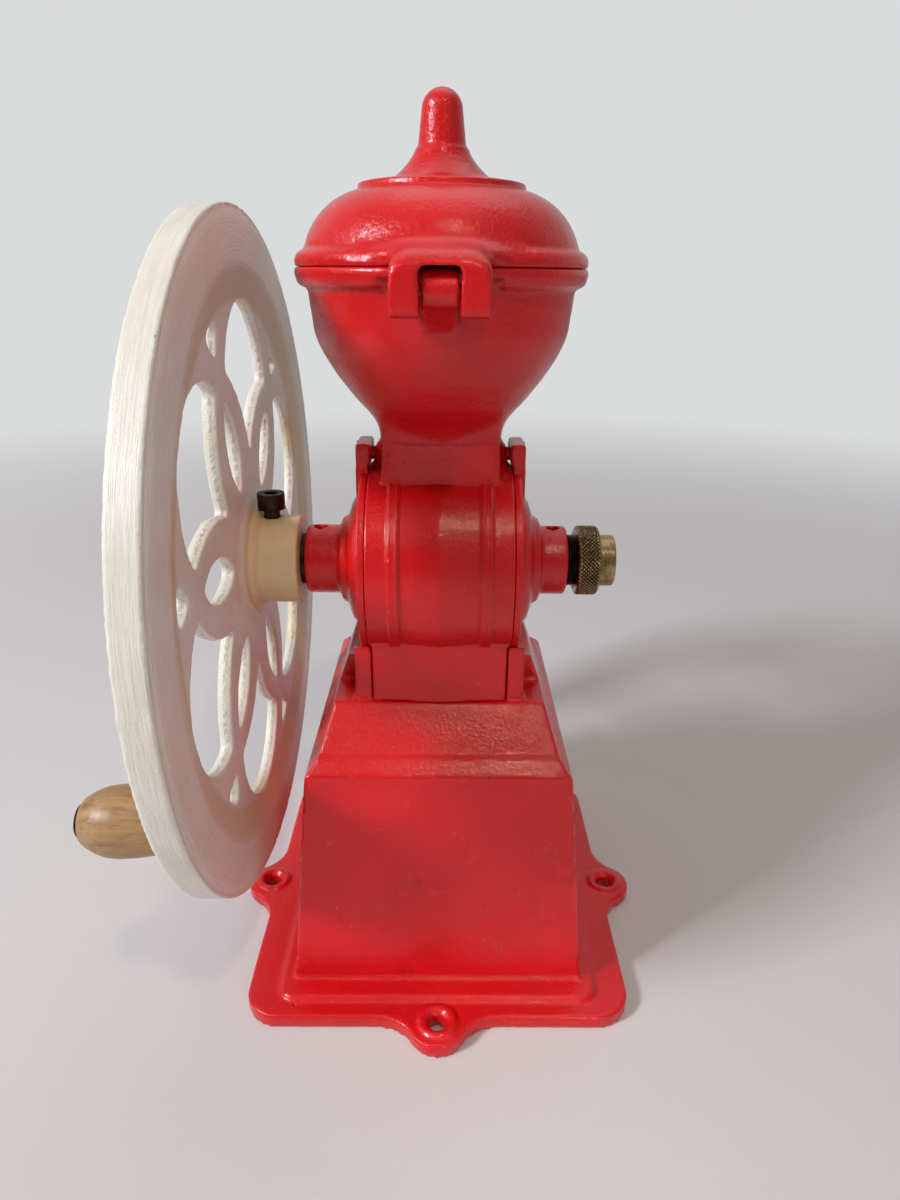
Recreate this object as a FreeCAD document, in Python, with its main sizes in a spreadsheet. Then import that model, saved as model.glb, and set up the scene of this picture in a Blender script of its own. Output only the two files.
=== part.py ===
"""Hand cranked coffee grinder with a side flywheel, in millimetres.

The frame: +Z up, the flywheel on -X, the grind adjuster on +X, the lid hinge on -Y
and the drawer on +Y. The origin is under the crank shaft, on the base's underside.
"""
import FreeCAD, Part
import Sketcher
import math
import os
import re

os.makedirs("parts", exist_ok=True)
doc = FreeCAD.newDocument("CoffeeGrinder")
sheet = doc.addObject("Spreadsheet::Sheet", "Sizes")

# Every driving size, and the places that follow from them; a formula starts with =
sizes = {
    # Fits shared by every joint between pieces
    "cast_gap": 0.3,  # gap between two castings
    "run_gap": 0.05,  # radial gap of a running fit
    "slide_gap": 0.3,  # side gap of the drawer on its rails

    # Drum of the grinding body, which the base, the covers and the burrs follow
    "drum_radius": 37.2,  # radius of the drum's edge bands
    "drum_half": 26.5,  # half length of the drum
    "drum_wall": 8.2,  # wall of the drum round the fixed burr
    "burr_ledge": 4,  # ledge in the drum behind the fixed burr
    "band_width": 8,  # width of an edge band
    "bead_width": 4,  # round bead beside a band
    "bead_rise": 1.2,  # rise of that bead
    "drum_crown": 1.6,  # rise of the ridge round the drum's middle
    "drum_bore": "=drum_radius-drum_wall",  # bore of the drum
    "burr_bore": "=drum_bore-burr_ledge",  # bore of the drum on the feed side of the burrs

    # Foot of the grinding body and the cheeks that hold it
    "foot_step": 1.5,  # foot narrower than the drum, on each side
    "foot_depth": 29.6,  # half depth of the foot
    "arris_rise": 1.3,  # rise of the ridge on the neck's and foot's flat faces
    "cheek_gap": 0.25,  # gap between the foot and a cheek
    "cheek_thick": 6.3,  # cheek thickness
    "cheek_inset": 0.6,  # cheek shorter than the foot, at each end
    "gusset_run": 8.05,  # run of the gusset outside a cheek
    "gusset_rear": 12,  # rear end of that gusset
    "foot_pin_radius": 2.5,  # cross pin radius
    "foot_pin_inset": 5.6,  # cross pin from the end of the foot
    "foot_pin_rise": 5.5,  # cross pins over the seat
    "foot_half": "=drum_half-foot_step",  # half width of the foot
    "cheek_inner": "=foot_half+cheek_gap",  # inner face of a cheek
    "cheek_outer": "=cheek_inner+cheek_thick",  # outer face of a cheek
    "cheek_depth": "=foot_depth-cheek_inset",  # half depth of a cheek
    "foot_pin_depth": "=foot_depth-foot_pin_inset",  # cross pins forward and back of the shaft

    # Base body
    "flange_thick": 6,  # flange thickness
    "plinth_rise": 2,  # step on the flange round the body
    "body_foot_half": 56.3,  # half width of the body at the step
    "body_foot_rear": 58,  # rear face of the body at the step
    "body_front": 72,  # front wall of the body
    "body_taper": 7,  # narrowing of each side up to the ledge
    "body_rear_taper": 8,  # lean of the rear face up to the ledge
    "ledge_height": 95.5,  # height of the ledge
    "ledge_rise": 4,  # height of the bevel over the ledge
    "ledge_inset": 4,  # inward run of that bevel
    "roof_rise": 17.5,  # height of the sloped shoulder over the bevel
    "seat_margin": 1.4,  # seat deeper than the foot, at each end
    "axis_rise": 46.5,  # shaft axis over the seat
    "body_wall": 5,  # wall of the hollow base
    "chute_lap": 5,  # powder chute under the fixed burr
    "chute_wall": 3,  # wall between the chute and the foot's side
    "chute_depth": 15,  # half depth of the powder chute
    "body_top_half": "=body_foot_half-body_taper",  # half width of the body at the ledge
    "body_top_rear": "=body_foot_rear-body_rear_taper",  # rear face of the body at the ledge
    "roof_run": "=body_top_rear-ledge_inset",  # half depth of the sloped shoulder at its foot
    "seat_height": "=ledge_height+ledge_rise+roof_rise",  # height of the grinding body's seat
    "seat_half": "=cheek_outer+gusset_run",  # half width of the seat
    "seat_depth": "=foot_depth+seat_margin",  # half depth of the seat
    "shaft_height": "=seat_height+axis_rise",  # height of the crank shaft axis

    # Base flange and its three ears
    "plinth_side": 5.2,  # step beyond each side of the body
    "plinth_back": 9,  # step beyond the rear face
    "plinth_lead": 3,  # step beyond the front wall
    "plinth_corner": 6,  # corner radius of the step
    "flange_side": 12.9,  # flange beyond the step at the sides
    "flange_lead": 2,  # flange beyond the step at the front
    "flange_corner": 14,  # corner radius of the flange
    "ear_out": 2.1,  # bolt hole beyond the flange's edge
    "ear_radius": 10.8,  # radius of the ear round its hole
    "flare_radius": 16,  # hollow radius that blends an ear into the edge
    "bolt_radius": 3.25,  # bolt hole radius
    "dish_rim": 1.95,  # dish at the top of a bolt hole, beyond the hole
    "dish_depth": 2.1,  # depth of that dish
    "ear_boss_wall": 1.8,  # raised ring beyond the dish
    "ear_boss_rise": 1.4,  # height of that ring over the flange
    "plinth_half": "=body_foot_half+plinth_side",  # half width of the step
    "plinth_rear": "=body_foot_rear+plinth_back",  # rear edge of the step
    "plinth_front": "=body_front+plinth_lead",  # front edge of the step
    "flange_reach": "=plinth_half+flange_side",  # shaft axis to the side and rear edges
    "flange_front": "=plinth_front+flange_lead",  # shaft axis to the front edge
    "ear_reach": "=flange_reach+ear_out",  # shaft axis to each bolt hole
    "dish_radius": "=bolt_radius+dish_rim",  # radius of the dish
    "ear_boss_radius": "=dish_radius+ear_boss_wall",  # raised ring round a bolt hole
    "flare_drop": "=flare_radius+flange_reach-ear_reach",  # hollow centre past the hole centre
    "ear_turn": "=acos(flare_drop/(ear_radius+flare_radius))",  # turn from an ear to its hollow
    "flare_span": "=sqrt((ear_radius+flare_radius)^2-flare_drop^2)",  # hollow centre along the edge
    "ear_side": "=ear_radius*flare_span/(ear_radius+flare_radius)",  # tangent point along the edge
    "ear_neck": "=ear_reach+ear_radius*flare_drop/(ear_radius+flare_radius)",  # tangent point outward

    # Neck and hopper bowl
    "neck_half": 21.4,  # half width of the neck
    "neck_depth": 16.4,  # half depth of the neck
    "throat_wall": 3.4,  # wall beside the bean throat
    "throat_depth": 12,  # half depth of the bean throat
    "throat_length": 16,  # length of the throat along the shaft
    "seam_rise": 105.4,  # lid seam over the shaft axis
    "rim_radius": 49.7,  # outer radius of the hopper's rim bead
    "rim_depth": 5.6,  # height of the rim bead
    "rim_round": 0.4,  # rounded edge of the rim bead
    "rim_overhang": 3.8,  # rim bead beyond the bowl
    "bead_hollow": 0.25,  # roundness of the rim bead
    "bowl_taper": 1.9,  # narrowing of the bowl's side
    "bowl_side": 22.5,  # depth of the side under the seam
    "belly_radius": 34.3,  # bowl radius where its belly turns in
    "belly_depth": 39.5,  # that radius under the seam
    "belly_bulge": 0.18,  # roundness of the belly
    "throat_radius": 27,  # bowl radius where the belly meets the neck
    "throat_level": 47.2,  # that radius under the seam
    "bowl_wall": 3.8,  # wall of the bowl
    "stem_inset": 1.3,  # bowl's round stem inside the neck's side
    "stem_depth": 8,  # height of that stem under the belly
    "neck_bulge": 0.22,  # hollow between the stem and the belly
    "throat_far": "=neck_half-throat_wall",  # throat's side toward the flywheel
    "bowl_radius": "=rim_radius-rim_overhang",  # bowl radius under the bead
    "side_radius": "=bowl_radius-bowl_taper",  # bowl radius at the foot of its side
    "neck_round": "=neck_half-stem_inset",  # radius of the bowl's stem inside the neck
    "seam_height": "=shaft_height+seam_rise",  # height of the lid seam
    "neck_top": "=seam_height-throat_level-stem_depth",  # foot of the bowl's round stem

    # Lid hinge
    "hinge_out": 4.8,  # hinge pin beyond the rim bead
    "lid_clear": 0.7,  # gap between the knuckle and the lid
    "knuckle_radius": 5.7,  # barrel of the hopper's knuckle
    "knuckle_half": 5.4,  # half width of the knuckle
    "hinge_gap": 0.5,  # gap between the knuckle and a lid ear
    "lid_ear_width": 8.6,  # width of a lid ear
    "lid_ear_round": 1.6,  # round of a lid ear beyond the knuckle's
    "lid_ear_rise": 4.6,  # top of a lid ear over the seam
    "ear_blend_turn": 67,  # turn of a lid ear's round into its blend
    "ear_blend_bulge": 0.1,  # hollow of that blend
    "hinge_pin_radius": 2,  # hinge pin radius
    "arm_depth": 19.5,  # foot of the knuckle's arm under the seam
    "arm_turn": 50,  # turn of the knuckle's barrel into its arm
    "arm_bulge": 0.15,  # hollow under the arm
    "hinge_back": "=rim_radius+hinge_out",  # hinge pin behind the shaft axis
    "pin_height": "=seam_height-knuckle_radius-lid_clear",  # height of the hinge pin
    "lid_ear_radius": "=knuckle_radius+lid_ear_round",  # round of a lid ear about the pin
    "ear_inner": "=knuckle_half+hinge_gap",  # inner face of a lid ear
    "ear_outer": "=ear_inner+lid_ear_width",  # outer face of a lid ear

    # Shaft and its bearings
    "shaft_radius": 6,  # crank shaft radius
    "bush_wall": 2,  # wall of the flywheel side bush
    "bush_inset": 1.1,  # bush behind the cover's inner face
    "stub_wall": 4,  # wall of the threaded stub
    "stub_stand": 9.5,  # threaded stub beyond its boss
    "stub_bevel": 0.8,  # bevel at the stub's end
    "bush_radius": "=shaft_radius+bush_wall",  # outer radius of the bush
    "stub_radius": "=shaft_radius+stub_wall",  # outer radius of the stub

    # End covers, from the boss outward to the flange
    "boss_wall": 3.3,  # wall of a bearing boss round the stub
    "boss_flare": 2.9,  # step ring beyond the boss
    "step_flare": 1.4,  # dome's flat end beyond the step ring
    "shoulder_flare": 5,  # dome's shoulder beyond its flat end
    "dome_flare": 3.6,  # dome's foot beyond its shoulder
    "cover_rim": 2.8,  # thickness of a cover's flange
    "dome_bulge": 0.2,  # roundness of the dome
    "dome_rise": 4.1,  # dome shoulder over the flange
    "dome_crest": 5.8,  # dome's flat end over the flange
    "step_rise": 2.3,  # height of the step ring
    "boss_root": 1.3,  # run of the slope from the step ring to the boss
    "left_boss": 12.5,  # length of the flywheel side boss
    "right_boss": 9.6,  # length of the adjuster side boss
    "boss_round": 1.2,  # rounded edge of a boss
    "cover_wall": 4,  # wall of a cover's dome
    "spigot_length": 2,  # spigot of a cover inside the drum
    "oil_radius": 2.6,  # oil hole radius
    "oil_inset": 5.2,  # oil hole from the end of its boss
    "lug_room": 3.8,  # gap between the neck and a cover's lug
    "lug_thick": 5.8,  # thickness of a cover's lug
    "lug_depth": 9,  # half depth of a cover's lug
    "lug_gap": 1.9,  # gap between a lug and the drum
    "lug_screw_radius": 2.5,  # lug screw radius
    "lug_screw_length": 12,  # lug screw length
    "lug_head_radius": 4.6,  # lug screw head radius
    "lug_head_height": 2.4,  # lug screw head height
    "lug_boss_wall": 2,  # wall of the boss between the neck and a lug
    "lug_crown": 4.7,  # top of a lug over its screw
    "boss_radius": "=stub_radius+boss_wall",  # radius of a bearing boss
    "step_radius": "=boss_radius+boss_flare",  # step ring round the boss
    "dome_flat": "=step_radius+step_flare",  # radius of the dome's flat end
    "dome_shoulder": "=dome_flat+shoulder_flare",  # dome radius at its shoulder
    "dome_radius": "=dome_shoulder+dome_flare",  # dome radius where it leaves the flange
    "rim_face_place": "=drum_half+cover_rim",  # outer face of a cover's flange
    "crest_place": "=rim_face_place+dome_crest",  # flat end of a cover's dome
    "step_place": "=crest_place+step_rise",  # outer face of a cover's step ring
    "cover_inside": "=crest_place-cover_wall/2",  # inner face of a cover round its bearing
    "left_boss_end": "=step_place+boss_root+left_boss",  # outer end of the flywheel side boss
    "right_boss_end": "=step_place+boss_root+right_boss",  # outer end of the adjuster side boss
    "lug_inner": "=neck_half+lug_room",  # inner face of a cover's lug
    "lug_outer": "=lug_inner+lug_thick",  # outer face of a cover's lug
    "lug_boss_radius": "=lug_screw_radius+lug_boss_wall",  # boss between the neck and a lug
    "lug_screw_rise": "=drum_radius+lug_boss_radius+0.1",  # lug screw over the shaft axis
    "lug_top": "=lug_screw_rise+lug_crown",  # top of a lug over the shaft axis

    # Burrs, key and thrust spring
    "burr_start": 2,  # feed face of the fixed burr
    "burr_length": 12,  # length of the fixed burr
    "burr_clear": 0.2,  # radial gap of the fixed burr in the drum
    "ring_wall": 5,  # fixed burr's wall at its powder face, with its gap
    "ring_taper": 6,  # narrowing of its cone toward the feed face
    "burr_gap": 0.9,  # radial gap between the burrs
    "cone_nose": 17,  # nose of the rotating burr before the feed face
    "nose_wall": 4.5,  # wall of that nose
    "tooth_radius": 1.3,  # grinding groove radius
    "tooth_count": 12,  # grinding grooves round each burr
    "tooth_lead": 14,  # turn of a groove along the fixed burr
    "cone_tooth_lead": 24,  # turn of a groove along the rotating burr
    "key_width": 4,  # key between the shaft and the rotating burr
    "key_length": 12,  # key length
    "burr_screw_radius": 1.4,  # fixed burr screw radius
    "burr_screw_inset": 2.6,  # fixed burr screws outside its cone
    "burr_screw_length": 18,  # fixed burr screw length
    "burr_head_radius": 2.1,  # fixed burr screw head radius
    "burr_head_height": 1.2,  # fixed burr screw head height
    "spring_clear": 1.8,  # gap between the thrust spring and the shaft
    "spring_wire": 1.2,  # wire radius of the thrust spring
    "spring_turns": 5,  # turns of the thrust spring
    "spring_gap": 0.3,  # gap between the spring and the rotating burr
    "burr_end": "=burr_start+burr_length",  # powder face of the fixed burr
    "ring_large": "=drum_bore-ring_wall",  # fixed burr's cone at the powder face
    "ring_small": "=ring_large-ring_taper",  # fixed burr's cone at the feed face
    "nose_radius": "=shaft_radius+nose_wall",  # radius of the rotating burr's nose
    "burr_screw_reach": "=ring_large+burr_screw_inset",  # fixed burr screws from the shaft axis
    "spring_radius": "=shaft_radius+spring_clear+spring_wire",  # mean radius of the spring
    "chute_near": "=burr_end-chute_lap",  # near side of the powder chute
    "chute_far": "=foot_half-chute_wall",  # far side of the powder chute

    # Adjuster
    "washer_room": 1,  # gap between the stub and the thrust washer
    "washer_inset": 0.4,  # thrust washer smaller than the stub
    "washer_thick": 1.1,  # thrust washer thickness
    "nut_room": 3.9,  # gap between the boss and the adjuster nut
    "nut_wall": 0.9,  # end wall of the nut's collar
    "collar_wall": 3.5,  # wall of the nut's knurled collar
    "collar_round": 1.1,  # rounded edges of the collar
    "nut_hub_flare": 0.35,  # nut's plain hub beyond the washer
    "nut_hub_length": 6.1,  # length of that hub
    "nut_round": 0.6,  # rounded edge of that hub
    "tip_inset": 1.5,  # shaft's adjuster end narrower than the shaft
    "tip_stand": 1.8,  # shaft's end beyond the nut
    "tip_dome": 1.4,  # height of its domed end
    "stub_end": "=right_boss_end+stub_stand",  # outer end of the threaded stub
    "shaft_shoulder": "=stub_end+washer_room",  # shoulder that the thrust washer bears on
    "nut_floor": "=shaft_shoulder+washer_thick",  # seat of the thrust washer in the nut
    "nut_start": "=right_boss_end+nut_room",  # inner end of the adjuster nut
    "collar_end": "=nut_floor+nut_wall",  # outer end of the collar
    "nut_end": "=collar_end+nut_hub_length",  # outer end of the nut
    "washer_radius": "=stub_radius-washer_inset",  # thrust washer radius
    "collar_radius": "=stub_radius+collar_wall",  # radius of the collar
    "nut_hub_radius": "=washer_radius+nut_hub_flare",  # radius of the nut's hub
    "tip_radius": "=shaft_radius-tip_inset",  # radius of the shaft's adjuster end
    "tip_end": "=nut_end+tip_stand",  # adjuster end of the shaft

    # Flywheel
    "wheel_radius": 125,  # flywheel radius
    "rim_half": 5.4,  # half width of the rim
    "rim_depth_flat": 18,  # depth of the rim's flat side
    "rim_bevel": 12,  # depth of the bevel inside it
    "web_half": 3.8,  # half thickness of the spokes
    "hub_wall": 11.1,  # wall of the hub
    "hub_room": 0.6,  # gap between the boss and the hub's spacer
    "spacer_wall": 3.8,  # wall of the spacer
    "spacer_thick": 1.5,  # spacer thickness
    "hub_inward": 21.4,  # hub from the wheel's mid plane, inward
    "hub_outward": 5.3,  # hub from the wheel's mid plane, outward
    "hub_fillet": 4,  # hollow between the hub and the spokes
    "shaft_inset": 0.5,  # shaft's end inside the hub
    "spoke_count": 6,  # number of petal spokes
    "spoke_phase": 20,  # turn of the first gap in the pose shown
    "gap_root_out": 23.9,  # gap between two petals, beyond the hub
    "gap_neck_in": 19.9,  # neck of a petal, inside the rim
    "gap_neck_turn": 23.8,  # neck of a petal, turned from the gap's middle
    "gap_crown_in": 0.1,  # outermost point of the gap, inside the rim
    "flank_bulge": 0.23,  # roundness of a petal's flank
    "eye_inner_out": 13.9,  # inner point of a petal's eye, beyond the hub
    "eye_outer_in": 28,  # outer point of a petal's eye, inside the rim
    "eye_half": 7,  # half width of a petal's eye
    "fork_point_in": 12,  # inner point of the small gap in a fork, inside the rim
    "fork_half": 6.5,  # half width of that gap
    "fork_side_in": 3.5,  # outer corners of that gap, inside the rim
    "fork_crown_in": 2,  # outermost point of that gap, inside the rim
    "set_screw_inset": 11.1,  # set screw from the hub's inner end
    "set_screw_radius": 3,  # set screw radius
    "set_screw_bite": 1,  # set screw into the shaft
    "set_head_flare": 2.2,  # set screw head beyond its shank
    "set_head_height": 6.1,  # set screw head height
    "set_head_stand": 2.9,  # set screw head above the hub
    "socket_radius": 2.8,  # hexagon socket in the set screw
    "socket_depth": 3.2,  # depth of that socket
    "rim_flat": "=wheel_radius-rim_depth_flat",  # inner radius of the rim's flat side
    "rim_inner": "=rim_flat-rim_bevel",  # inner radius of the rim
    "hub_radius": "=shaft_radius+hub_wall",  # hub radius
    "spacer_radius": "=shaft_radius+spacer_wall",  # spacer radius
    "spacer_start": "=left_boss_end+hub_room",  # inner face of the spacer from the origin
    "hub_inner": "=spacer_start+spacer_thick",  # inner end of the hub from the origin
    "wheel_place": "=hub_inner+hub_inward",  # mid plane of the flywheel from the origin
    "shaft_left": "=wheel_place+hub_outward-shaft_inset",  # flywheel end of the shaft
    "gap_root": "=hub_radius+gap_root_out",  # inner corner of the gap between two petals
    "gap_neck": "=rim_inner-gap_neck_in",  # neck of a petal, from the shaft axis
    "gap_crown": "=rim_inner-gap_crown_in",  # outermost point of the gap
    "eye_inner": "=hub_radius+eye_inner_out",  # inner point of a petal's eye
    "eye_outer": "=rim_inner-eye_outer_in",  # outer point of a petal's eye
    "fork_point": "=rim_inner-fork_point_in",  # inner point of the gap in a fork
    "fork_side": "=rim_inner-fork_side_in",  # outer corners of that gap
    "fork_crown": "=rim_inner-fork_crown_in",  # outermost point of that gap
    "set_screw_place": "=hub_inner+set_screw_inset",  # set screw from the origin
    "set_head_radius": "=set_screw_radius+set_head_flare",  # set screw head radius

    # Handle
    "handle_inset": 18.4,  # handle axis inside the flywheel's edge
    "handle_turn": 211.4,  # handle's place round the flywheel in the pose shown
    "spindle_radius": 4,  # handle spindle radius
    "spindle_depth": 8,  # spindle's thread in the rim
    "spindle_flare": 1.3,  # spindle's head beyond its rod
    "spindle_cap": 1.6,  # spindle head thickness
    "recess_gap": 0.5,  # gap round the head in its recess
    "recess_depth": 1.2,  # recess for the spindle head
    "grip_gap": 0.5,  # gap between the rim and the grip
    "grip_length": 30,  # grip length
    "grip_radius": 11.4,  # largest radius of the grip
    "grip_neck": 9.2,  # grip radius beside the rim
    "grip_belly": 19,  # widest place of the grip from its inner end
    "grip_lip": 1.2,  # grip's flat end round the recess
    "nose_bulge": 0.3,  # roundness of the grip's outer part
    "grip_bulge": 0.06,  # roundness of the grip's inner part
    "grip_play": 0.3,  # end play of the grip
    "handle_reach": "=wheel_radius-handle_inset",  # handle axis from the shaft axis
    "spindle_head": "=spindle_radius+spindle_flare",  # spindle head radius
    "recess_radius": "=spindle_head+recess_gap",  # radius of the recess
    "grip_nose": "=recess_radius+grip_lip",  # radius of the grip's flat outer end

    # Lid
    "lid_bead": 5.4,  # height of the lid's edge bead
    "lid_overhang": 3.4,  # lid's bead beyond its dome
    "lid_bead_bulge": 0.5,  # roundness of the lid's edge bead
    "dome_edge": 28.3,  # lid radius where the dome meets the disc
    "dome_height": 23.2,  # height of the dome's edge over the seam
    "lid_bulge": 0.287,  # roundness of the dome
    "disc_inset": 0.5,  # raised disc inside the dome's edge
    "disc_thick": 2.1,  # thickness of the raised disc
    "disc_slope": 2,  # rise of the disc's top toward the finial
    "flare_run": 5.8,  # finial's foot beyond its step ring
    "flare_rise": 6.8,  # height of the finial's hollow foot
    "flare_bulge": 0.35,  # hollow of the finial's foot
    "collar_run": 1.6,  # step ring beyond the post
    "collar_step": 2.3,  # height from the step ring to the post
    "post_foot": 7.8,  # radius of the finial's post at its foot
    "post_taper": 1.5,  # narrowing of the post
    "post_rise": 14.5,  # height of the post
    "post_dome": 2.5,  # height of the post's domed end
    "lid_wall": 3.6,  # wall of the lid
    "lid_shoulder": "=rim_radius-lid_overhang",  # lid radius over its bead
    "disc_radius": "=dome_edge-disc_inset",  # radius of the raised disc
    "flare_top": "=post_foot+collar_run",  # radius of the finial's step ring
    "flare_foot": "=flare_top+flare_run",  # radius of the finial's foot
    "post_top": "=post_foot-post_taper",  # radius of the finial's post at its top

    # Drawer
    "rail_thick": 3,  # drawer rail thickness
    "rail_lip": 6,  # height of the guide lip over a rail
    "rail_lap": 6.7,  # rail under the drawer
    "tray_wall": 6,  # side wall of the drawer tray
    "tray_floor": 4,  # floor of the drawer tray
    "tray_low": 12,  # drawer tray lower than the drawer front
    "tray_room": 1,  # gap behind the drawer tray
    "drawer_room": 3.6,  # drawer inside the body's wall at the ledge
    "front_room": 11.5,  # drawer front under the hollow's roof
    "front_gap": 0.5,  # gap over the drawer front
    "front_thick": 10,  # thickness of the drawer front
    "front_proud": 2,  # drawer front beyond the base's front wall
    "knob_foot": 6.6,  # radius of the knob's foot
    "knob_neck": 4.6,  # radius of the knob's neck
    "knob_neck_end": 5,  # neck of the knob from the drawer front
    "knob_radius": 9,  # knob radius
    "knob_face_inset": 1.2,  # knob's crown inside its widest round
    "knob_crown": 1.6,  # height of the knob's crown
    "knob_band": 5,  # from the crown to the knob's widest round
    "knob_rise": 7.4,  # from the neck to the knob's widest round
    "knob_bulge": 0.25,  # roundness of the knob
    "knob_screw_radius": 2,  # knob screw radius
    "knob_screw_grip": 10,  # knob screw in the knob
    "knob_head_flare": 2,  # knob screw head beyond its shank
    "knob_head_height": 2,  # knob screw head height
    "rail_top": "=flange_thick+rail_thick",  # surface that the drawer runs on
    "tray_half": "=body_top_half-body_wall-drawer_room",  # half width of the drawer
    "rail_inner": "=tray_half-rail_lap",  # inner edge of a rail
    "tray_back": "=body_top_rear-body_wall-tray_room",  # back of the drawer behind the shaft axis
    "front_height": "=ledge_height-body_wall-rail_top-front_room",  # height of the drawer front
    "tray_height": "=front_height-tray_low",  # height of the drawer tray
    "knob_face": "=knob_radius-knob_face_inset",  # radius of the knob's crown
    "knob_widest": "=knob_neck_end+knob_rise",  # knob's widest round from the drawer front
    "knob_length": "=knob_widest+knob_band+knob_crown",  # knob length
    "knob_screw_length": "=front_thick+knob_screw_grip",  # knob screw length
    "knob_head_radius": "=knob_screw_radius+knob_head_flare",  # knob screw head radius
}
for row, (alias, amount) in enumerate(sizes.items(), 1):
    sheet.set(f"A{row}", alias)
    sheet.set(f"B{row}", str(amount))
    sheet.setAlias(f"B{row}", alias)
doc.recompute()

word = re.compile(r"[a-z][a-z_]*[a-z]")
quarter = "tan(22.5)"


def bind(text):
    """Write a formula of size names as one that the document's objects can read."""
    return word.sub(lambda m: "Sizes." + m.group() if m.group() in sizes else m.group(), str(text))


def value(text):
    return float(sheet.evalExpression(bind(text)))


def drive(obj, **formulas):
    """Tie properties of an object to formulas of the sizes. A dot is written as two underscores."""
    for name, text in formulas.items():
        obj.setExpression(name.replace("__", "."), bind(text))
    return obj


def move(obj, x="0", y="0", z="0"):
    return drive(obj, Placement__Base__x=x, Placement__Base__y=y, Placement__Base__z=z)


def neg(text):
    return f"-({text})"


def mirrored(corners):
    """The same outline on the other side of the vertical axis."""
    return [(neg(c[0]), c[1]) if len(c) == 2 else (neg(c[0]), c[1], neg(c[2])) for c in corners]


def cap(height, radius):
    """Bulge of the arc that ends level on the axis: half of a shallow dome's section."""
    return f"tan(atan(({height})/({radius}))/2)"


def new_body(name):
    return doc.addObject("PartDesign::Body", name)


def new_sketch(body, name, role, offset="0"):
    """A sketch on one of the body's own origin planes, lifted off it by the offset."""
    made = body.newObject("Sketcher::SketchObject", name)
    plane = next(f for f in body.Origin.OriginFeatures if f.Role == role)
    made.AttachmentSupport = [(plane, "")]
    made.MapMode = "FlatFace"
    made.setExpression("AttachmentOffset.Base.z", bind(offset))
    return made


def pin_point(sketch, index, which, x, y):
    """Hold one point of a sketch at formulas of the sizes."""
    for kind, text in (("DistanceX", x), ("DistanceY", y)):
        held = sketch.addConstraint(Sketcher.Constraint(kind, -1, 1, index, which, value(text)))
        sketch.setExpression(f"Constraints[{held}]", bind(text))


def outline(sketch, corners):
    """Closed outline through the corners. A corner (x, y) is reached by a straight line. A corner
    (x, y, bulge) is reached by an arc whose height is bulge times half its chord, to the right."""
    first = sketch.GeometryCount
    count = len(corners)
    ends = []
    starts = []
    for i, corner in enumerate(corners):
        before = corners[i - 1]
        start = FreeCAD.Vector(value(before[0]), value(before[1]), 0)
        end = FreeCAD.Vector(value(corner[0]), value(corner[1]), 0)
        if len(corner) == 2:
            sketch.addGeometry(Part.LineSegment(start, end), False)
            starts.append(1)
            ends.append(2)
            continue
        bulge = value(corner[2])
        middle = (start + end) * 0.5 + FreeCAD.Vector(end.y - start.y, start.x - end.x, 0) * bulge * 0.5
        sketch.addGeometry(Part.Arc(start, middle, end), False)
        starts.append(1 if bulge > 0 else 2)
        ends.append(2 if bulge > 0 else 1)
    for i, corner in enumerate(corners):
        after = (i + 1) % count
        sketch.addConstraint(Sketcher.Constraint("Coincident", first + i, ends[i],
                                                 first + after, starts[after]))
        pin_point(sketch, first + i, ends[i], corner[0], corner[1])
    for i, corner in enumerate(corners):
        if len(corner) == 3:
            x0, y0 = corners[i - 1][:2]
            x1, y1, bulge = corner
            middle_x = f"(({x0})+({x1})+(({y1})-({y0}))*({bulge}))/2"
            middle_y = f"(({y0})+({y1})-(({x1})-({x0}))*({bulge}))/2"
            point = FreeCAD.Vector(value(middle_x), value(middle_y), 0)
            made = sketch.addGeometry(Part.Point(point), True)
            pin_point(sketch, made, 1, middle_x, middle_y)
            sketch.addConstraint(Sketcher.Constraint("PointOnObject", made, 1, first + i))
    return sketch


def circle(sketch, x, y, radius):
    centre = FreeCAD.Vector(value(x), value(y), 0)
    made = sketch.addGeometry(Part.Circle(centre, FreeCAD.Vector(0, 0, 1), value(radius)), False)
    pin_point(sketch, made, 3, x, y)
    held = sketch.addConstraint(Sketcher.Constraint("Radius", made, value(radius)))
    sketch.setExpression(f"Constraints[{held}]", bind(radius))
    return sketch


def pad(body, name, sketch, length, side="One side"):
    made = body.newObject("PartDesign::Pad", name)
    made.Profile = sketch
    made.SideType = side
    drive(made, Length=length)
    doc.recompute()
    return made


def turned(name, axis, corners, x="0", y="0", z="0"):
    """A piece turned about a line along X, Y or Z through a point. Its corners are
    (place along the line, radius) on X and Y, and (radius, height) on Z."""
    body = new_body(name)
    role = "YZ_Plane" if axis == "Y" else "XZ_Plane"
    sketch = outline(new_sketch(body, name + "Section", role), corners)
    made = body.newObject("PartDesign::Revolution", name + "Turned")
    made.Profile = sketch
    made.ReferenceAxis = (sketch, ["V_Axis" if axis == "Z" else "H_Axis"])
    made.Angle = 360
    doc.recompute()
    return move(body, x, y, z)


def block(name, x0, x1, y0, y1, z0, z1):
    made = doc.addObject("Part::Box", name)
    drive(made, Length=f"({x1})-({x0})", Width=f"({y1})-({y0})", Height=f"({z1})-({z0})")
    return move(made, x0, y0, z0)


def frustum(name, low, high, z0, z1):
    """A four-sided block between two level rectangles, each given as (x0, x1, y0, y1)."""
    made = doc.addObject("Part::Wedge", name)
    made.Placement.Rotation = FreeCAD.Rotation(FreeCAD.Vector(1, 0, 0), 90)
    drive(made, Xmin=low[0], Xmax=low[1], Zmin=neg(low[3]), Zmax=neg(low[2]))
    drive(made, X2min=high[0], X2max=high[1], Z2min=neg(high[3]), Z2max=neg(high[2]))
    return drive(made, Ymin=z0, Ymax=z1)


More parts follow.
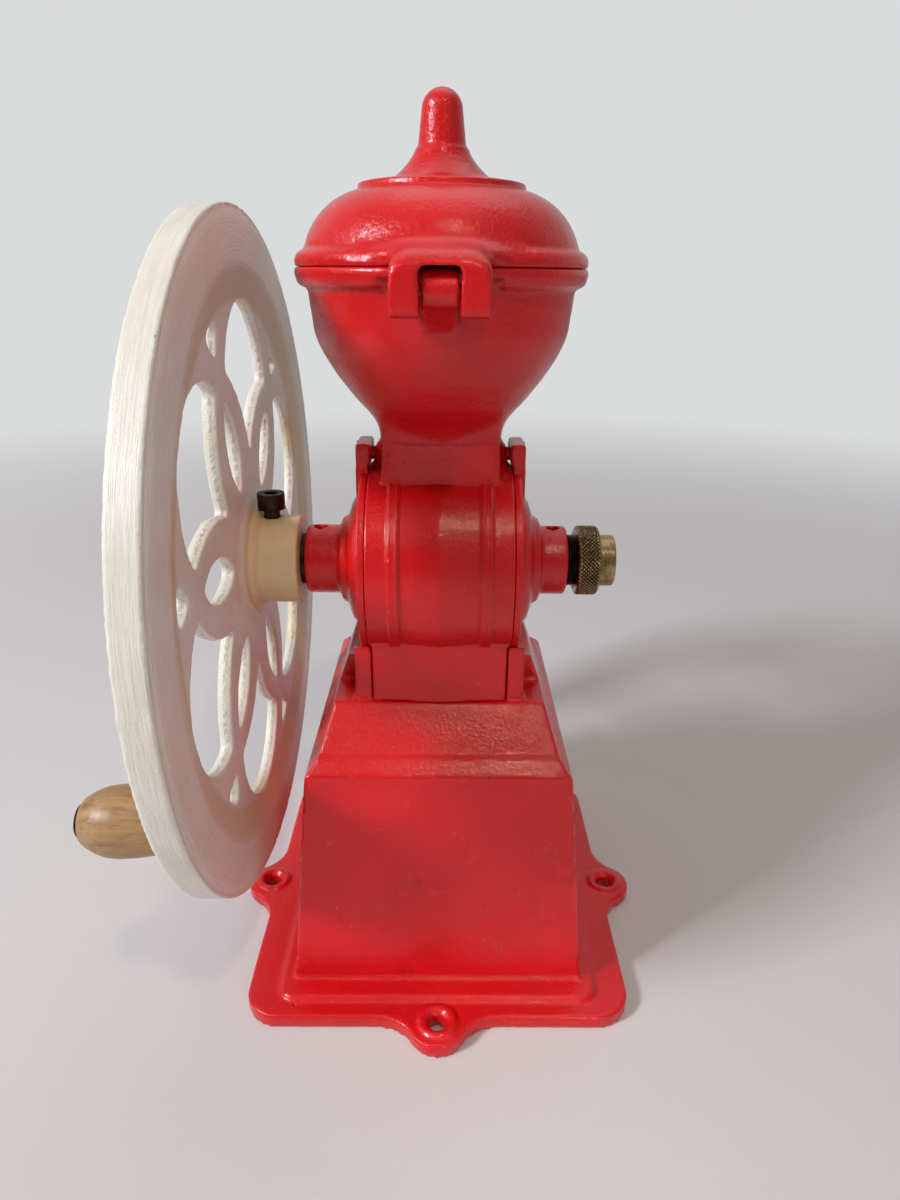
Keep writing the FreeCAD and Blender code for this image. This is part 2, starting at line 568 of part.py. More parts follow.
turns = {"X": FreeCAD.Rotation(FreeCAD.Vector(0, 1, 0), 90),
         "-X": FreeCAD.Rotation(FreeCAD.Vector(0, 1, 0), -90),
         "Y": FreeCAD.Rotation(FreeCAD.Vector(1, 0, 0), -90),
         "Z": FreeCAD.Rotation()}


def rod(name, axis, radius, length, x="0", y="0", z="0"):
    """A cylinder that starts at a point and runs along its axis."""
    made = doc.addObject("Part::Cylinder", name)
    made.Placement.Rotation = turns[axis]
    drive(made, Radius=radius, Height=length)
    return move(made, x, y, z)


def taper(name, axis, radius, far_radius, length, x="0", y="0", z="0"):
    """A cone frustum that starts at a point with its first radius."""
    made = doc.addObject("Part::Cone", name)
    made.Placement.Rotation = turns[axis]
    drive(made, Radius1=radius, Radius2=far_radius, Height=length)
    return move(made, x, y, z)


def join(name, pieces):
    made = doc.addObject("Part::MultiFuse", name)
    made.Shapes = pieces
    made.Refine = True
    doc.recompute()
    return made


def cut(name, piece, tools):
    made = doc.addObject("Part::Cut", name)
    made.Base = piece
    made.Tool = tools[0] if len(tools) == 1 else join(name + "Tools", tools)
    made.Refine = True
    doc.recompute()
    return made


def group(name, pieces):
    """Identical fasteners that stay separate solids in one node."""
    made = doc.addObject("Part::Compound", name)
    made.Links = pieces
    doc.recompute()
    return made


nodes = []


def node(name, obj):
    """Name a finished piece: the name of its file and of its node."""
    obj.Label = name
    nodes.append(obj)


def quarter_turned(corners, quarters):
    """The same run of corners, turned by quarter turns about the origin."""
    for _ in range(quarters):
        corners = [(neg(c[1]), c[0]) + tuple(c[2:]) for c in corners]
    return corners


def flange_outline(sketch):
    """Rounded plate with an ear on its rear edge and on each side."""
    hollow = neg("tan(ear_turn/4)")
    ear = [(neg("flare_span"), neg("flange_reach")),
           (neg("ear_side"), neg("ear_neck"), hollow),
           ("ear_side", neg("ear_neck"), "tan(ear_turn/2)"),
           ("flare_span", neg("flange_reach"), hollow)]
    inset = "flange_reach-flange_corner"
    front = "flange_front-flange_corner"
    corners = ear + [(inset, neg("flange_reach")), ("flange_reach", neg(inset), quarter)]
    corners += quarter_turned(ear, 1)
    corners += [("flange_reach", front), (inset, "flange_front", quarter),
                (neg(inset), "flange_front"), (neg("flange_reach"), front, quarter)]
    corners += quarter_turned(ear, 3)
    corners += [(neg("flange_reach"), neg(inset)), (neg(inset), neg("flange_reach"), quarter)]
    return outline(sketch, corners)


def rounded_box_outline(sketch, half, rear, front, corner):
    side = f"{half}-{corner}"
    low = neg(f"{rear}-{corner}")
    high = f"{front}-{corner}"
    return outline(sketch, [(side, neg(rear)), (half, low, quarter),
                            (half, high), (side, front, quarter),
                            (neg(side), front), (neg(half), high, quarter),
                            (neg(half), low), (neg(side), neg(rear), quarter)])


def ridged_outline(sketch, half, depth):
    """A rectangle whose front and rear edges rise to a shallow ridge in the middle."""
    peak = f"{depth}+arris_rise"
    return outline(sketch, [(half, neg(depth)), (half, depth), ("0", peak),
                            (neg(half), depth), (neg(half), neg(depth)), ("0", neg(peak))])


# Base casting
flange = new_body("Flange")
pad(flange, "FlangePlate", flange_outline(new_sketch(flange, "FlangeOutline", "XY_Plane")), "flange_thick")
plinth = new_sketch(flange, "PlinthOutline", "XY_Plane", "flange_thick")
rounded_box_outline(plinth, "plinth_half", "plinth_rear", "plinth_front", "plinth_corner")
pad(flange, "Plinth", plinth, "plinth_rise")

ears = [("0", neg("ear_reach")), ("ear_reach", "0"), (neg("ear_reach"), "0")]
ear_bosses = []
base_cuts = []
for i, (x, y) in enumerate(ears):
    ear_bosses.append(rod(f"EarBoss{i}", "Z", "ear_boss_radius", "flange_thick+ear_boss_rise", x, y))
    base_cuts.append(rod(f"EarHole{i}", "Z", "bolt_radius", "flange_thick+ear_boss_rise", x, y))
    base_cuts.append(taper(f"EarDish{i}", "Z", "bolt_radius", "dish_radius", "dish_depth",
                           x, y, "flange_thick+ear_boss_rise-dish_depth"))

step_top = "flange_thick+plinth_rise"
ledge_top = "ledge_height+ledge_rise"
top_half = "body_top_half-ledge_inset"
shell = frustum("BodyShell",
                (neg("body_foot_half"), "body_foot_half", neg("body_foot_rear"), "body_front"),
                (neg("body_top_half"), "body_top_half", neg("body_top_rear"), "body_front"),
                step_top, "ledge_height")
ledge = frustum("Ledge",
                (neg("body_top_half"), "body_top_half", neg("body_top_rear"), "body_front"),
                (neg(top_half), top_half, neg("roof_run"), "body_front-ledge_inset"),
                "ledge_height", ledge_top)
saddle = frustum("Saddle",
                 (neg(top_half), top_half, neg("roof_run"), "roof_run"),
                 (neg("seat_half"), "seat_half", neg("seat_depth"), "seat_depth"),
                 ledge_top, "seat_height")

cheek_top = "shaft_height-sqrt(drum_radius^2-cheek_depth^2)+cast_gap"
cheeks = []
for name, side in (("Right", "1"), ("Left", "-1")):
    inner = f"{side}*cheek_inner"
    outer = f"{side}*cheek_outer"
    foot = f"{side}*seat_half"
    near, far, toe = (inner, outer, foot) if side == "1" else (outer, inner, inner)
    low = (inner, foot) if side == "1" else (foot, inner)
    cheeks.append(block(f"{name}Cheek", near, far, neg("cheek_depth"), "cheek_depth",
                        "seat_height-body_wall/2", cheek_top))
    cheeks.append(frustum(f"{name}Gusset", (low[0], low[1], neg("gusset_rear"), "cheek_depth"),
                          (near, far, neg("gusset_rear"), "cheek_depth"),
                          "seat_height", cheek_top))

bay_top = "ledge_height-body_wall"
base_cuts.append(frustum("DrawerBay",
                         (neg("body_foot_half-body_wall"), "body_foot_half-body_wall",
                          neg("body_foot_rear-body_wall"), "body_front-body_wall"),
                         (neg("body_top_half-body_wall"), "body_top_half-body_wall",
                          neg("body_top_rear-body_wall"), "body_front-body_wall"),
                         "0", bay_top))
base_cuts.append(frustum("SaddleHollow",
                         (neg(f"{top_half}-body_wall"), f"{top_half}-body_wall",
                          neg("roof_run-body_wall"), "roof_run-body_wall"),
                         (neg("seat_half-body_wall"), "seat_half-body_wall",
                          neg("seat_depth-body_wall"), "seat_depth-body_wall"),
                         f"{bay_top}-ledge_rise/2", "seat_height-body_wall"))
rail_edge = "tray_half+slide_gap"
base_cuts.append(block("DrawerMouth", neg(rail_edge), rail_edge, "0", "flange_front",
                       "rail_top", "rail_top+front_height+front_gap"))
base_cuts.append(block("BaseChute", "chute_near", "chute_far", neg("chute_depth"), "chute_depth",
                       "seat_height-2*body_wall", "seat_height"))
base_cuts.append(rod("Cradle", "X", "drum_radius+cast_gap", "2*seat_half", neg("seat_half"),
                     "0", "shaft_height"))
pin_height_low = "seat_height+foot_pin_rise"
foot_pins = []
foot_holes = []
for name, y in (("Rear", neg("foot_pin_depth")), ("Front", "foot_pin_depth")):
    foot_pins.append(rod(f"{name}Pin", "X", "foot_pin_radius", "2*cheek_outer",
                         neg("cheek_outer"), y, pin_height_low))
    base_cuts.append(rod(f"{name}CheekHole", "X", "foot_pin_radius", "2*seat_half",
                         neg("seat_half"), y, pin_height_low))
    foot_holes.append(rod(f"{name}FootHole", "X", "foot_pin_radius", "2*foot_half",
                          neg("foot_half"), y, pin_height_low))

rough = join("BaseRough", [flange, shell, ledge, saddle] + cheeks + ear_bosses)
hollow = cut("BaseHollow", rough, base_cuts)
rails = []
rail_far = "body_foot_half-body_wall/2"
rail_back = neg("body_top_rear-body_wall/2")
rail_front = "body_front-body_wall/2"
for name, rail, lip in (("Right", ("rail_inner", rail_far), (rail_edge, rail_far)),
                        ("Left", (neg(rail_far), neg("rail_inner")), (neg(rail_far), neg(rail_edge)))):
    rails.append(block(f"{name}Rail", rail[0], rail[1], rail_back, rail_front,
                       "flange_thick/2", "rail_top"))
    rails.append(block(f"{name}Lip", lip[0], lip[1], rail_back, rail_front,
                       "flange_thick", "rail_top+rail_lip"))
base = join("Base", [hollow] + rails)
reach = "ear_reach+ear_radius"


def level(name, low, high):
    """The part of the base casting between two heights."""
    made = doc.addObject("Part::Common", name)
    made.Base = base
    made.Tool = block(name + "Layer", neg(reach), reach, neg(reach), reach, low, high)
    made.Refine = True
    doc.recompute()
    return made


# The one casting is held as three level slices: plate and rails, drawer bay, roof
node("base_flange", level("BaseFlange", "0", "rail_top"))
node("base_skirt", level("BaseSkirt", "rail_top", bay_top))
node("base_shoulder", level("BaseShoulder", bay_top, "shaft_height"))
node("foot_pins", group("FootPins", foot_pins))

# Grinding body: hopper bowl, neck, drum and foot in one casting
bead_foot = "seam_height-rim_depth"
bowl_floor = "seam_height-throat_level+bowl_wall"
bowl = turned("Bowl", "Z", [
    ("0", "seam_height"),
    ("0", "neck_top"),
    ("neck_round", "neck_top"),
    ("throat_radius", "seam_height-throat_level", neg("neck_bulge")),
    ("belly_radius", "seam_height-belly_depth"),
    ("side_radius", "seam_height-bowl_side", "belly_bulge"),
    ("bowl_radius", bead_foot),
    ("rim_radius", "seam_height-rim_depth/2", neg("bead_hollow")),
    ("rim_radius-rim_round", "seam_height", "bead_hollow")])
bowl_inside = turned("BowlInside", "Z", [
    ("0", "seam_height"),
    ("0", bowl_floor),
    ("throat_radius-bowl_wall", bowl_floor),
    ("belly_radius-bowl_wall", "seam_height-belly_depth+bowl_wall/2"),
    ("side_radius-bowl_wall", "seam_height-bowl_side", "belly_bulge"),
    ("bowl_radius-bowl_wall", "seam_height")])

neck = new_body("Neck")
neck_base = "shaft_height+drum_bore"
neck_plan = ridged_outline(new_sketch(neck, "NeckPlan", "XY_Plane", neck_base), "neck_half", "neck_depth")
pad(neck, "NeckPad", neck_plan, f"{bowl_floor}-bowl_wall/2-({neck_base})")

bead_near = "drum_half-band_width"
bead_far = f"{bead_near}-bead_width"
drum_half_outline = [
    ("drum_half", "0"),
    ("drum_half", "drum_radius"),
    (bead_near, "drum_radius"),
    (bead_far, "drum_radius", "2*bead_rise/bead_width")]
drum = turned("Drum", "X", drum_half_outline + [("0", "drum_radius+drum_crown")] + [
    (neg(bead_far), "drum_radius"),
    (neg(bead_near), "drum_radius", "2*bead_rise/bead_width"),
    (neg("drum_half"), "drum_radius"),
    (neg("drum_half"), "0")], z="shaft_height")

foot = new_body("Foot")
foot_plan = ridged_outline(new_sketch(foot, "FootPlan", "XY_Plane", "seat_height"), "foot_half", "foot_depth")
pad(foot, "FootPad", foot_plan, "shaft_height-sqrt(drum_radius^2-foot_depth^2)-seat_height")

knuckle = new_body("Knuckle")
arm_front = neg("bowl_radius-bowl_wall/2")
arm = outline(new_sketch(knuckle, "ArmSide", "YZ_Plane"), [
    (neg("hinge_back"), "pin_height+knuckle_radius"),
    (neg("hinge_back+knuckle_radius"), "pin_height", quarter),
    (neg("hinge_back+knuckle_radius*cos(arm_turn)"), "pin_height-knuckle_radius*sin(arm_turn)",
     "tan(arm_turn/4)"),
    (arm_front, "seam_height-arm_depth", neg("arm_bulge")),
    (arm_front, "pin_height+knuckle_radius")])
pad(knuckle, "KnucklePad", arm, "2*knuckle_half", "Symmetric")

lug_height = "shaft_height+lug_screw_rise"
screw_tip = "lug_outer-lug_screw_length"
lug_bosses = rod("LugBosses", "X", "lug_boss_radius", "2*lug_inner", neg("lug_inner"), "0", lug_height)
hopper_rough = join("HopperRough", [bowl, neck, drum, foot, knuckle, lug_bosses])
hopper_cuts = foot_holes + [
    bowl_inside,
    block("Throat", neg("throat_far"), "throat_length-throat_far", neg("throat_depth"), "throat_depth",
          "shaft_height", f"{bowl_floor}+bowl_wall"),
    rod("FeedBore", "X", "burr_bore", "2*drum_half", neg("drum_half"), "0", "shaft_height"),
    rod("RingBore", "X", "drum_bore", "drum_half-burr_start", "burr_start", "0", "shaft_height"),
    rod("CoverBore", "X", "drum_bore", "spigot_length+cast_gap", neg("drum_half"), "0", "shaft_height"),
    block("PowderWay", "chute_near", "chute_far", neg("chute_depth"), "chute_depth",
          "seat_height", "shaft_height"),
    rod("KnuckleHole", "X", "hinge_pin_radius", "2*knuckle_half", neg("knuckle_half"),
        neg("hinge_back"), "pin_height"),
    rod("RightEarRoom", "X", "lid_ear_radius+hinge_gap", "ear_outer+hinge_gap-knuckle_half",
        "knuckle_half", neg("hinge_back"), "pin_height"),
    rod("LeftEarRoom", "X", "lid_ear_radius+hinge_gap", "ear_outer+hinge_gap-knuckle_half",
        neg("ear_outer+hinge_gap"), neg("hinge_back"), "pin_height"),
    rod("RightLugThread", "X", "lug_screw_radius", f"lug_inner-({screw_tip})", screw_tip, "0", lug_height),
    rod("LeftLugThread", "X", "lug_screw_radius", f"lug_inner-({screw_tip})", neg("lug_inner"), "0",
        lug_height)]
screw_turns = (90, 210, 330)
screw_places = [(f"burr_screw_reach*cos({a})", f"shaft_height+burr_screw_reach*sin({a})")
                for a in screw_turns]
burr_screw_tip = "burr_end-burr_screw_length"
for i, (y, z) in enumerate(screw_places):
    hopper_cuts.append(rod(f"BurrThread{i}", "X", "burr_screw_radius", f"burr_start-({burr_screw_tip})",
                           burr_screw_tip, y, z))
node("hopper_body", cut("HopperBody", hopper_rough, hopper_cuts))


def end_cover(name, side, boss_end, bore):
    """Domed cover with its bearing boss, oil hole and upper lug, on the side 1 (+X) or -1."""
    spigot = "drum_half-spigot_length"
    section = [
        ("drum_half", "drum_bore-cast_gap"),
        ("drum_half", "drum_radius"),
        ("rim_face_place", "drum_radius"),
        ("rim_face_place", "dome_radius"),
        ("rim_face_place+dome_rise", "dome_shoulder", neg("dome_bulge")),
        ("crest_place", "dome_flat"),
        ("step_place", "step_radius"),
        ("step_place+boss_root", "boss_radius"),
        (f"{boss_end}-boss_round", "boss_radius"),
        (boss_end, "boss_radius-boss_round", neg(quarter)),
        (boss_end, bore),
        ("cover_inside", bore),
        ("cover_inside", "dome_flat-cover_wall"),
        ("rim_face_place", "dome_radius-cover_wall"),
        (spigot, "dome_radius-cover_wall"),
        (spigot, "drum_bore-cast_gap")]
    lug_foot = "shaft_height+drum_radius+lug_gap"
    if side < 0:
        section = mirrored(section)
        spans = [(neg("lug_outer"), neg("drum_half")), (neg("lug_outer"), neg("lug_inner"))]
        outer_face = neg("lug_outer")
        inward = "X"
    else:
        spans = [("drum_half", "lug_outer"), ("lug_inner", "lug_outer")]
        outer_face = "lug_outer"
        inward = "-X"
    dome = turned(name + "Dome", "X", section, z="shaft_height")
    stem = block(name + "Stem", spans[0][0], spans[0][1], neg("lug_depth"), "lug_depth",
                 "shaft_height+dome_radius", lug_foot)
    lug = block(name + "Lug", spans[1][0], spans[1][1], neg("lug_depth"), "lug_depth",
                lug_foot, "shaft_height+lug_top")
    oil_hole = rod(name + "OilHole", "Z", "oil_radius", "boss_radius", f"{side}*({boss_end}-oil_inset)",
                   "0", f"shaft_height+({bore})")
    screw_hole = rod(name + "ScrewHole", "X", "lug_screw_radius", "lug_thick", spans[1][0], "0", lug_height)
    sink = taper(name + "Sink", inward, "lug_head_radius", "lug_screw_radius", "lug_head_height",
                 outer_face, "0", lug_height)
    return cut(name, join(name + "Rough", [dome, stem, lug]), [oil_hole, screw_hole, sink])


node("left_end_cover", end_cover("LeftCover", -1, "left_boss_end", "bush_radius"))
node("right_end_cover", end_cover("RightCover", 1, "right_boss_end", "stub_radius"))


def countersunk(name, inward, radius, length, head_radius, head_height, x, y, z):
    """Countersunk screw whose head is flush with a face at x and whose shank runs inward."""
    shank = rod(name + "Shank", inward, radius, length, x, y, z)
    head = taper(name + "Head", inward, head_radius, radius, head_height, x, y, z)
    return join(name, [shank, head])


node("cover_screws", group("CoverScrews", [
    countersunk(name, inward, "lug_screw_radius", "lug_screw_length", "lug_head_radius",
                "lug_head_height", f"{side}*lug_outer", "0", lug_height)
    for name, side, inward in (("RightLugScrew", 1, "-X"), ("LeftLugScrew", -1, "X"))]))

# Bearings and crank shaft
node("left_bush", turned("LeftBush", "X", mirrored([
    ("cover_inside+bush_inset", "shaft_radius+run_gap"),
    ("left_boss_end", "shaft_radius+run_gap"),
    ("left_boss_end", "bush_radius"),
    ("cover_inside+bush_inset", "bush_radius")]), z="shaft_height"))
node("adjuster_stub", turned("AdjusterStub", "X", [
    ("cover_inside", "shaft_radius+run_gap"),
    ("stub_end", "shaft_radius+run_gap"),
    ("stub_end", "stub_radius-stub_bevel"),
    ("stub_end-stub_bevel", "stub_radius"),
    ("cover_inside", "stub_radius")], z="shaft_height"))

shaft_rough = turned("ShaftTurned", "X", [
    (neg("shaft_left"), "0"),
    ("tip_end", "0"),
    ("tip_end-tip_dome", "tip_radius", cap("tip_dome", "tip_radius")),
    ("shaft_shoulder", "tip_radius"),
    ("shaft_shoulder", "shaft_radius"),
    (neg("shaft_left"), "shaft_radius")], z="shaft_height")
key_start = "burr_start-key_length/2"
key_low = "shaft_height+shaft_radius-key_width/2"
key_span = (key_start, f"{key_start}+key_length", neg("key_width/2"), "key_width/2")
key_slot = block("ShaftKeySlot", *key_span, key_low, "shaft_height+2*shaft_radius")
set_flat = rod("SetScrewFlat", "Z", "set_screw_radius", "shaft_radius", neg("set_screw_place"), "0",
               "shaft_height+shaft_radius-set_screw_bite")
node("main_shaft", cut("MainShaft", shaft_rough, [key_slot, set_flat]))
node("burr_key", block("BurrKey", *key_span, key_low, f"{key_low}+key_width"))

# Burrs: a fixed ring with a cone inside it, and a cone on the shaft
cone_nose_end = "burr_start-cone_nose"
cone_small = "ring_small-burr_gap"
cone_large = "ring_large-burr_gap"
ring_rough = turned("RingTurned", "X", [
    ("burr_start", "ring_small"),
    ("burr_end", "ring_large"),
    ("burr_end", "drum_bore-burr_clear"),
    ("burr_start", "drum_bore-burr_clear")], z="shaft_height")
cone_rough = turned("ConeTurned", "X", [
    (cone_nose_end, "shaft_radius"),
    ("burr_end", "shaft_radius"),
    ("burr_end", cone_large),
    ("burr_start", cone_small),
    (cone_nose_end, "nose_radius")], z="shaft_height")


def groove(name, near, far, near_radius, far_radius, turn, lead):
    """Round groove that runs askew along a cone, from one point of it to another."""
    made = doc.addObject("Part::Cylinder", name)
    angles = [math.radians(turn), math.radians(turn + value(lead))]
    start = FreeCAD.Vector(value(near), value(near_radius) * math.cos(angles[0]),
                           value(near_radius) * math.sin(angles[0]))
    end = FreeCAD.Vector(value(far), value(far_radius) * math.cos(angles[1]),
                         value(far_radius) * math.sin(angles[1]))
    overrun = value("2*tooth_radius")
    along = FreeCAD.Vector(end - start).normalize()
    drive(made, Radius="tooth_radius")
    made.Height = (end - start).Length + 2 * overrun
    made.Placement.Rotation = FreeCAD.Rotation(FreeCAD.Vector(0, 0, 1), along)
    made.Placement.Base = start - along * overrun + FreeCAD.Vector(0, 0, value("shaft_height"))
    return made


tooth_turns = [360 / value("tooth_count") * i for i in range(int(value("tooth_count")))]
ring_cuts = [groove(f"RingTooth{i}", "burr_start", "burr_end", "ring_small", "ring_large", turn,
                    "-tooth_lead") for i, turn in enumerate(tooth_turns)]
cone_cuts = [groove(f"ConeTooth{i}", cone_nose_end, "burr_end", "nose_radius", cone_large, turn,
                    "cone_tooth_lead") for i, turn in enumerate(tooth_turns)]
burr_screws = []
for i, (y, z) in enumerate(screw_places):
    burr_screws.append(countersunk(f"BurrScrew{i}", "-X", "burr_screw_radius", "burr_screw_length",
                                   "burr_head_radius", "burr_head_height", "burr_end", y, z))
    ring_cuts.append(rod(f"RingHole{i}", "X", "burr_screw_radius", "burr_end-burr_start",
                         "burr_start", y, z))
    ring_cuts.append(taper(f"RingSink{i}", "-X", "burr_head_radius", "burr_screw_radius",
                           "burr_head_height", "burr_end", y, z))
cone_cuts.append(block("ConeKeySlot", cone_nose_end, "burr_end", neg("key_width/2"), "key_width/2",
                       "shaft_height", f"{key_low}+key_width"))
node("fixed_burr", cut("FixedBurr", ring_rough, ring_cuts))
node("rotating_burr", cut("RotatingBurr", cone_rough, cone_cuts))
node("fixed_burr_screws", group("BurrScrews", burr_screws))

spring = new_body("Spring")
coil_run = f"cover_inside+({cone_nose_end})-spring_gap-2*spring_wire"
wire = circle(new_sketch(spring, "SpringWire", "XZ_Plane"), "0", "spring_radius", "spring_wire")
coil = spring.newObject("PartDesign::AdditiveHelix", "SpringCoil")
coil.Profile = wire
coil.ReferenceAxis = (wire, ["H_Axis"])
coil.Mode = "height-turns-angle"
coil.Angle = 0
drive(coil, Height=coil_run, Turns="spring_turns")
move(spring, neg("cover_inside-spring_wire"), "0", "shaft_height")
node("thrust_spring", spring)

# Grind adjuster
node("thrust_washer", turned("ThrustWasher", "X", [
    ("shaft_shoulder", "tip_radius+run_gap"),
    ("nut_floor", "tip_radius+run_gap"),
    ("nut_floor", "washer_radius"),
    ("shaft_shoulder", "washer_radius")], z="shaft_height"))
node("adjuster_nut", turned("AdjusterNut", "X", [
    ("nut_start", "stub_radius+run_gap"),
    ("nut_floor", "stub_radius+run_gap"),
    ("nut_floor", "tip_radius+run_gap"),
    ("nut_end", "tip_radius+run_gap"),
    ("nut_end", "nut_hub_radius-nut_round"),
    ("nut_end-nut_round", "nut_hub_radius", quarter),
    ("collar_end", "nut_hub_radius"),
    ("collar_end", "collar_radius-collar_round"),
    ("collar_end-collar_round", "collar_radius", quarter),
    ("nut_start+collar_round", "collar_radius"),
    ("nut_start", "collar_radius-collar_round", quarter)], z="shaft_height"))


# Flywheel with petal spokes
def at_turn(along, across, turn, *bulge):
    """A point of a spoke, given along and across the line that leaves the shaft at a turn."""
    return (f"({along})*cos({turn})-({across})*sin({turn})",
            f"({along})*sin({turn})+({across})*cos({turn})") + bulge


wheel = turned("WheelBlank", "X", [
    (neg("hub_outward"), "shaft_radius"),
    ("hub_inward", "shaft_radius"),
    ("hub_inward", "hub_radius"),
    ("web_half+hub_fillet", "hub_radius"),
    ("web_half", "hub_radius+hub_fillet", neg(quarter)),
    ("web_half", "rim_inner"),
    ("rim_half", "rim_flat"),
    ("rim_half", "wheel_radius"),
    (neg("rim_half"), "wheel_radius"),
    (neg("rim_half"), "rim_flat"),
    (neg("web_half"), "rim_inner"),
    (neg("web_half"), "hub_radius"),
    (neg("hub_outward"), "hub_radius")], neg("wheel_place"), "0", "shaft_height")
openings = new_sketch(wheel, "SpokeOpenings", "YZ_Plane")
neck_along = "gap_neck*cos(gap_neck_turn)"
neck_across = "gap_neck*sin(gap_neck_turn)"
outline(openings, [
    at_turn("gap_root", "0", "spoke_phase", neg("flank_bulge")),
    at_turn(neck_along, neg(neck_across), "spoke_phase", neg("flank_bulge")),
    at_turn(neck_along, neck_across, "spoke_phase", f"(gap_crown-{neck_along})/({neck_across})")])
petal_turn = "spoke_phase+180/spoke_count"
eye_bulge = "2*eye_half/(eye_outer-eye_inner)"
outline(openings, [
    at_turn("eye_inner", "0", petal_turn, eye_bulge),
    at_turn("eye_outer", "0", petal_turn, eye_bulge)])
outline(openings, [
    at_turn("fork_point", "0", petal_turn),
    at_turn("fork_side", neg("fork_half"), petal_turn),
    at_turn("fork_side", "fork_half", petal_turn, "(fork_crown-fork_side)/fork_half")])
blank_volume = wheel.Shape.Volume
opening = wheel.newObject("PartDesign::Pocket", "SpokeOpening")
opening.Profile = openings
opening.SideType = "Symmetric"
opening.Type = "ThroughAll"
doc.recompute()
one_cut = blank_volume - wheel.Shape.Volume
ring = wheel.newObject("PartDesign::PolarPattern", "SpokeRing")
ring.Originals = [opening]
ring.Axis = (openings, ["N_Axis"])
ring.Angle = 360
drive(ring, Occurrences="spoke_count")
wheel.Tip = ring
doc.recompute()
all_cuts = blank_volume - wheel.Shape.Volume
if one_cut <= 0 or abs(all_cuts - one_cut * value("spoke_count")) > 1:
    raise RuntimeError("the spoke openings did not cut the flywheel evenly")

handle_y = "handle_reach*cos(handle_turn)"
handle_z = "shaft_height+handle_reach*sin(handle_turn)"
rim_face = "wheel_place+rim_half"
node("flywheel", cut("Flywheel", wheel, [
    rod("SetScrewHole", "Z", "set_screw_radius", "2*hub_radius", neg("set_screw_place"), "0", "shaft_height"),
    rod("SpindleHole", "X", "spindle_radius", "spindle_depth", neg(rim_face), handle_y, handle_z)]))
node("hub_spacer", turned("HubSpacer", "X", mirrored([
    ("spacer_start", "shaft_radius"),
    ("hub_inner", "shaft_radius"),
    ("hub_inner", "spacer_radius"),
    ("spacer_start", "spacer_radius")]), z="shaft_height"))

screw_low = "shaft_height+shaft_radius-set_screw_bite"
head_low = "shaft_height+hub_radius+set_head_stand"
head_high = f"{head_low}+set_head_height"
screw_body = join("SetScrewBody", [
    rod("SetScrewShank", "Z", "set_screw_radius", f"{head_low}-({screw_low})", neg("set_screw_place"), "0",
        screw_low),
    rod("SetScrewHead", "Z", "set_head_radius", "set_head_height", neg("set_screw_place"), "0", head_low)])
socket = doc.addObject("Part::Prism", "SetScrewSocket")
socket.Polygon = 6
drive(socket, Circumradius="socket_radius", Height="socket_depth")
move(socket, neg("set_screw_place"), "0", f"{head_high}-socket_depth")
node("hub_set_screw", cut("SetScrew", screw_body, [socket]))

# Handle
grip_start = f"{rim_face}+grip_gap"
grip_bore = "spindle_radius+run_gap"
node("handle_grip", turned("HandleGrip", "X", mirrored([
    ("0", grip_bore),
    ("grip_length-recess_depth", grip_bore),
    ("grip_length-recess_depth", "recess_radius"),
    ("grip_length", "recess_radius"),
    ("grip_length", "grip_nose"),
    ("grip_belly", "grip_radius", "nose_bulge"),
    ("0", "grip_neck", "grip_bulge")]), neg(grip_start), handle_y, handle_z))
spindle_end = f"{grip_start}+grip_length-recess_depth+grip_play"
node("handle_spindle", join("HandleSpindle", [
    rod("SpindleRod", "-X", "spindle_radius", f"{spindle_end}-({rim_face})+spindle_depth",
        neg(f"{rim_face}-spindle_depth"), handle_y, handle_z),
    rod("SpindleHead", "-X", "spindle_head", "spindle_cap", neg(spindle_end), handle_y, handle_z)]))

# Lid with its finial and hinge ears
dome_top = "dome_height+disc_thick"
flare_base = f"{dome_top}+disc_slope"
flare_end = f"{flare_base}+flare_rise"
post_base = f"{flare_end}+collar_step"
post_end = f"{post_base}+post_rise"
lid_turned = turned("LidTurned", "Z", [
    ("0", "dome_height-lid_wall"),
    ("dome_edge-lid_wall", "dome_height-lid_wall"),
    ("lid_shoulder-lid_wall", "0", neg("lid_bulge")),
    ("rim_radius-rim_round", "0"),
    ("lid_shoulder", "lid_bead", "lid_bead_bulge"),
    ("dome_edge", "dome_height", "lid_bulge"),
    ("disc_radius", "dome_height"),
    ("disc_radius", dome_top),
    ("flare_foot", flare_base),
    ("flare_top", flare_end, neg("flare_bulge")),
    ("flare_top", f"{flare_end}+collar_step/2"),
    ("post_foot", post_base),
    ("post_top", post_end),
    ("0", f"{post_end}+post_dome", cap("post_dome", "post_top"))], z="seam_height")
ear_body = new_body("LidEarSide")
ear_side = outline(new_sketch(ear_body, "LidEarOutline", "YZ_Plane"), [
    (neg("hinge_back"), "pin_height"),
    (neg("hinge_back-knuckle_half/2"), "seam_height"),
    (neg("lid_shoulder"), "seam_height"),
    (neg("lid_shoulder"), "seam_height+lid_ear_rise"),
    (neg("hinge_back-lid_ear_radius*cos(ear_blend_turn)"), "pin_height+lid_ear_radius*sin(ear_blend_turn)",
     neg("ear_blend_bulge"))])
pad(ear_body, "LidEarPad", ear_side, "2*ear_outer", "Symmetric")
ear_round = rod("LidEarRound", "X", "lid_ear_radius", "2*ear_outer", neg("ear_outer"), neg("hinge_back"),
                "pin_height")
ear_slot = block("LidEarSlot", neg("ear_inner"), "ear_inner", neg("hinge_back+2*lid_ear_radius"),
                 neg("lid_shoulder-lid_wall/2"), "pin_height-2*lid_ear_radius", "seam_height+2*lid_ear_rise")
lid_ears = cut("LidEars", join("LidEarBlock", [ear_body, ear_round]), [ear_slot])
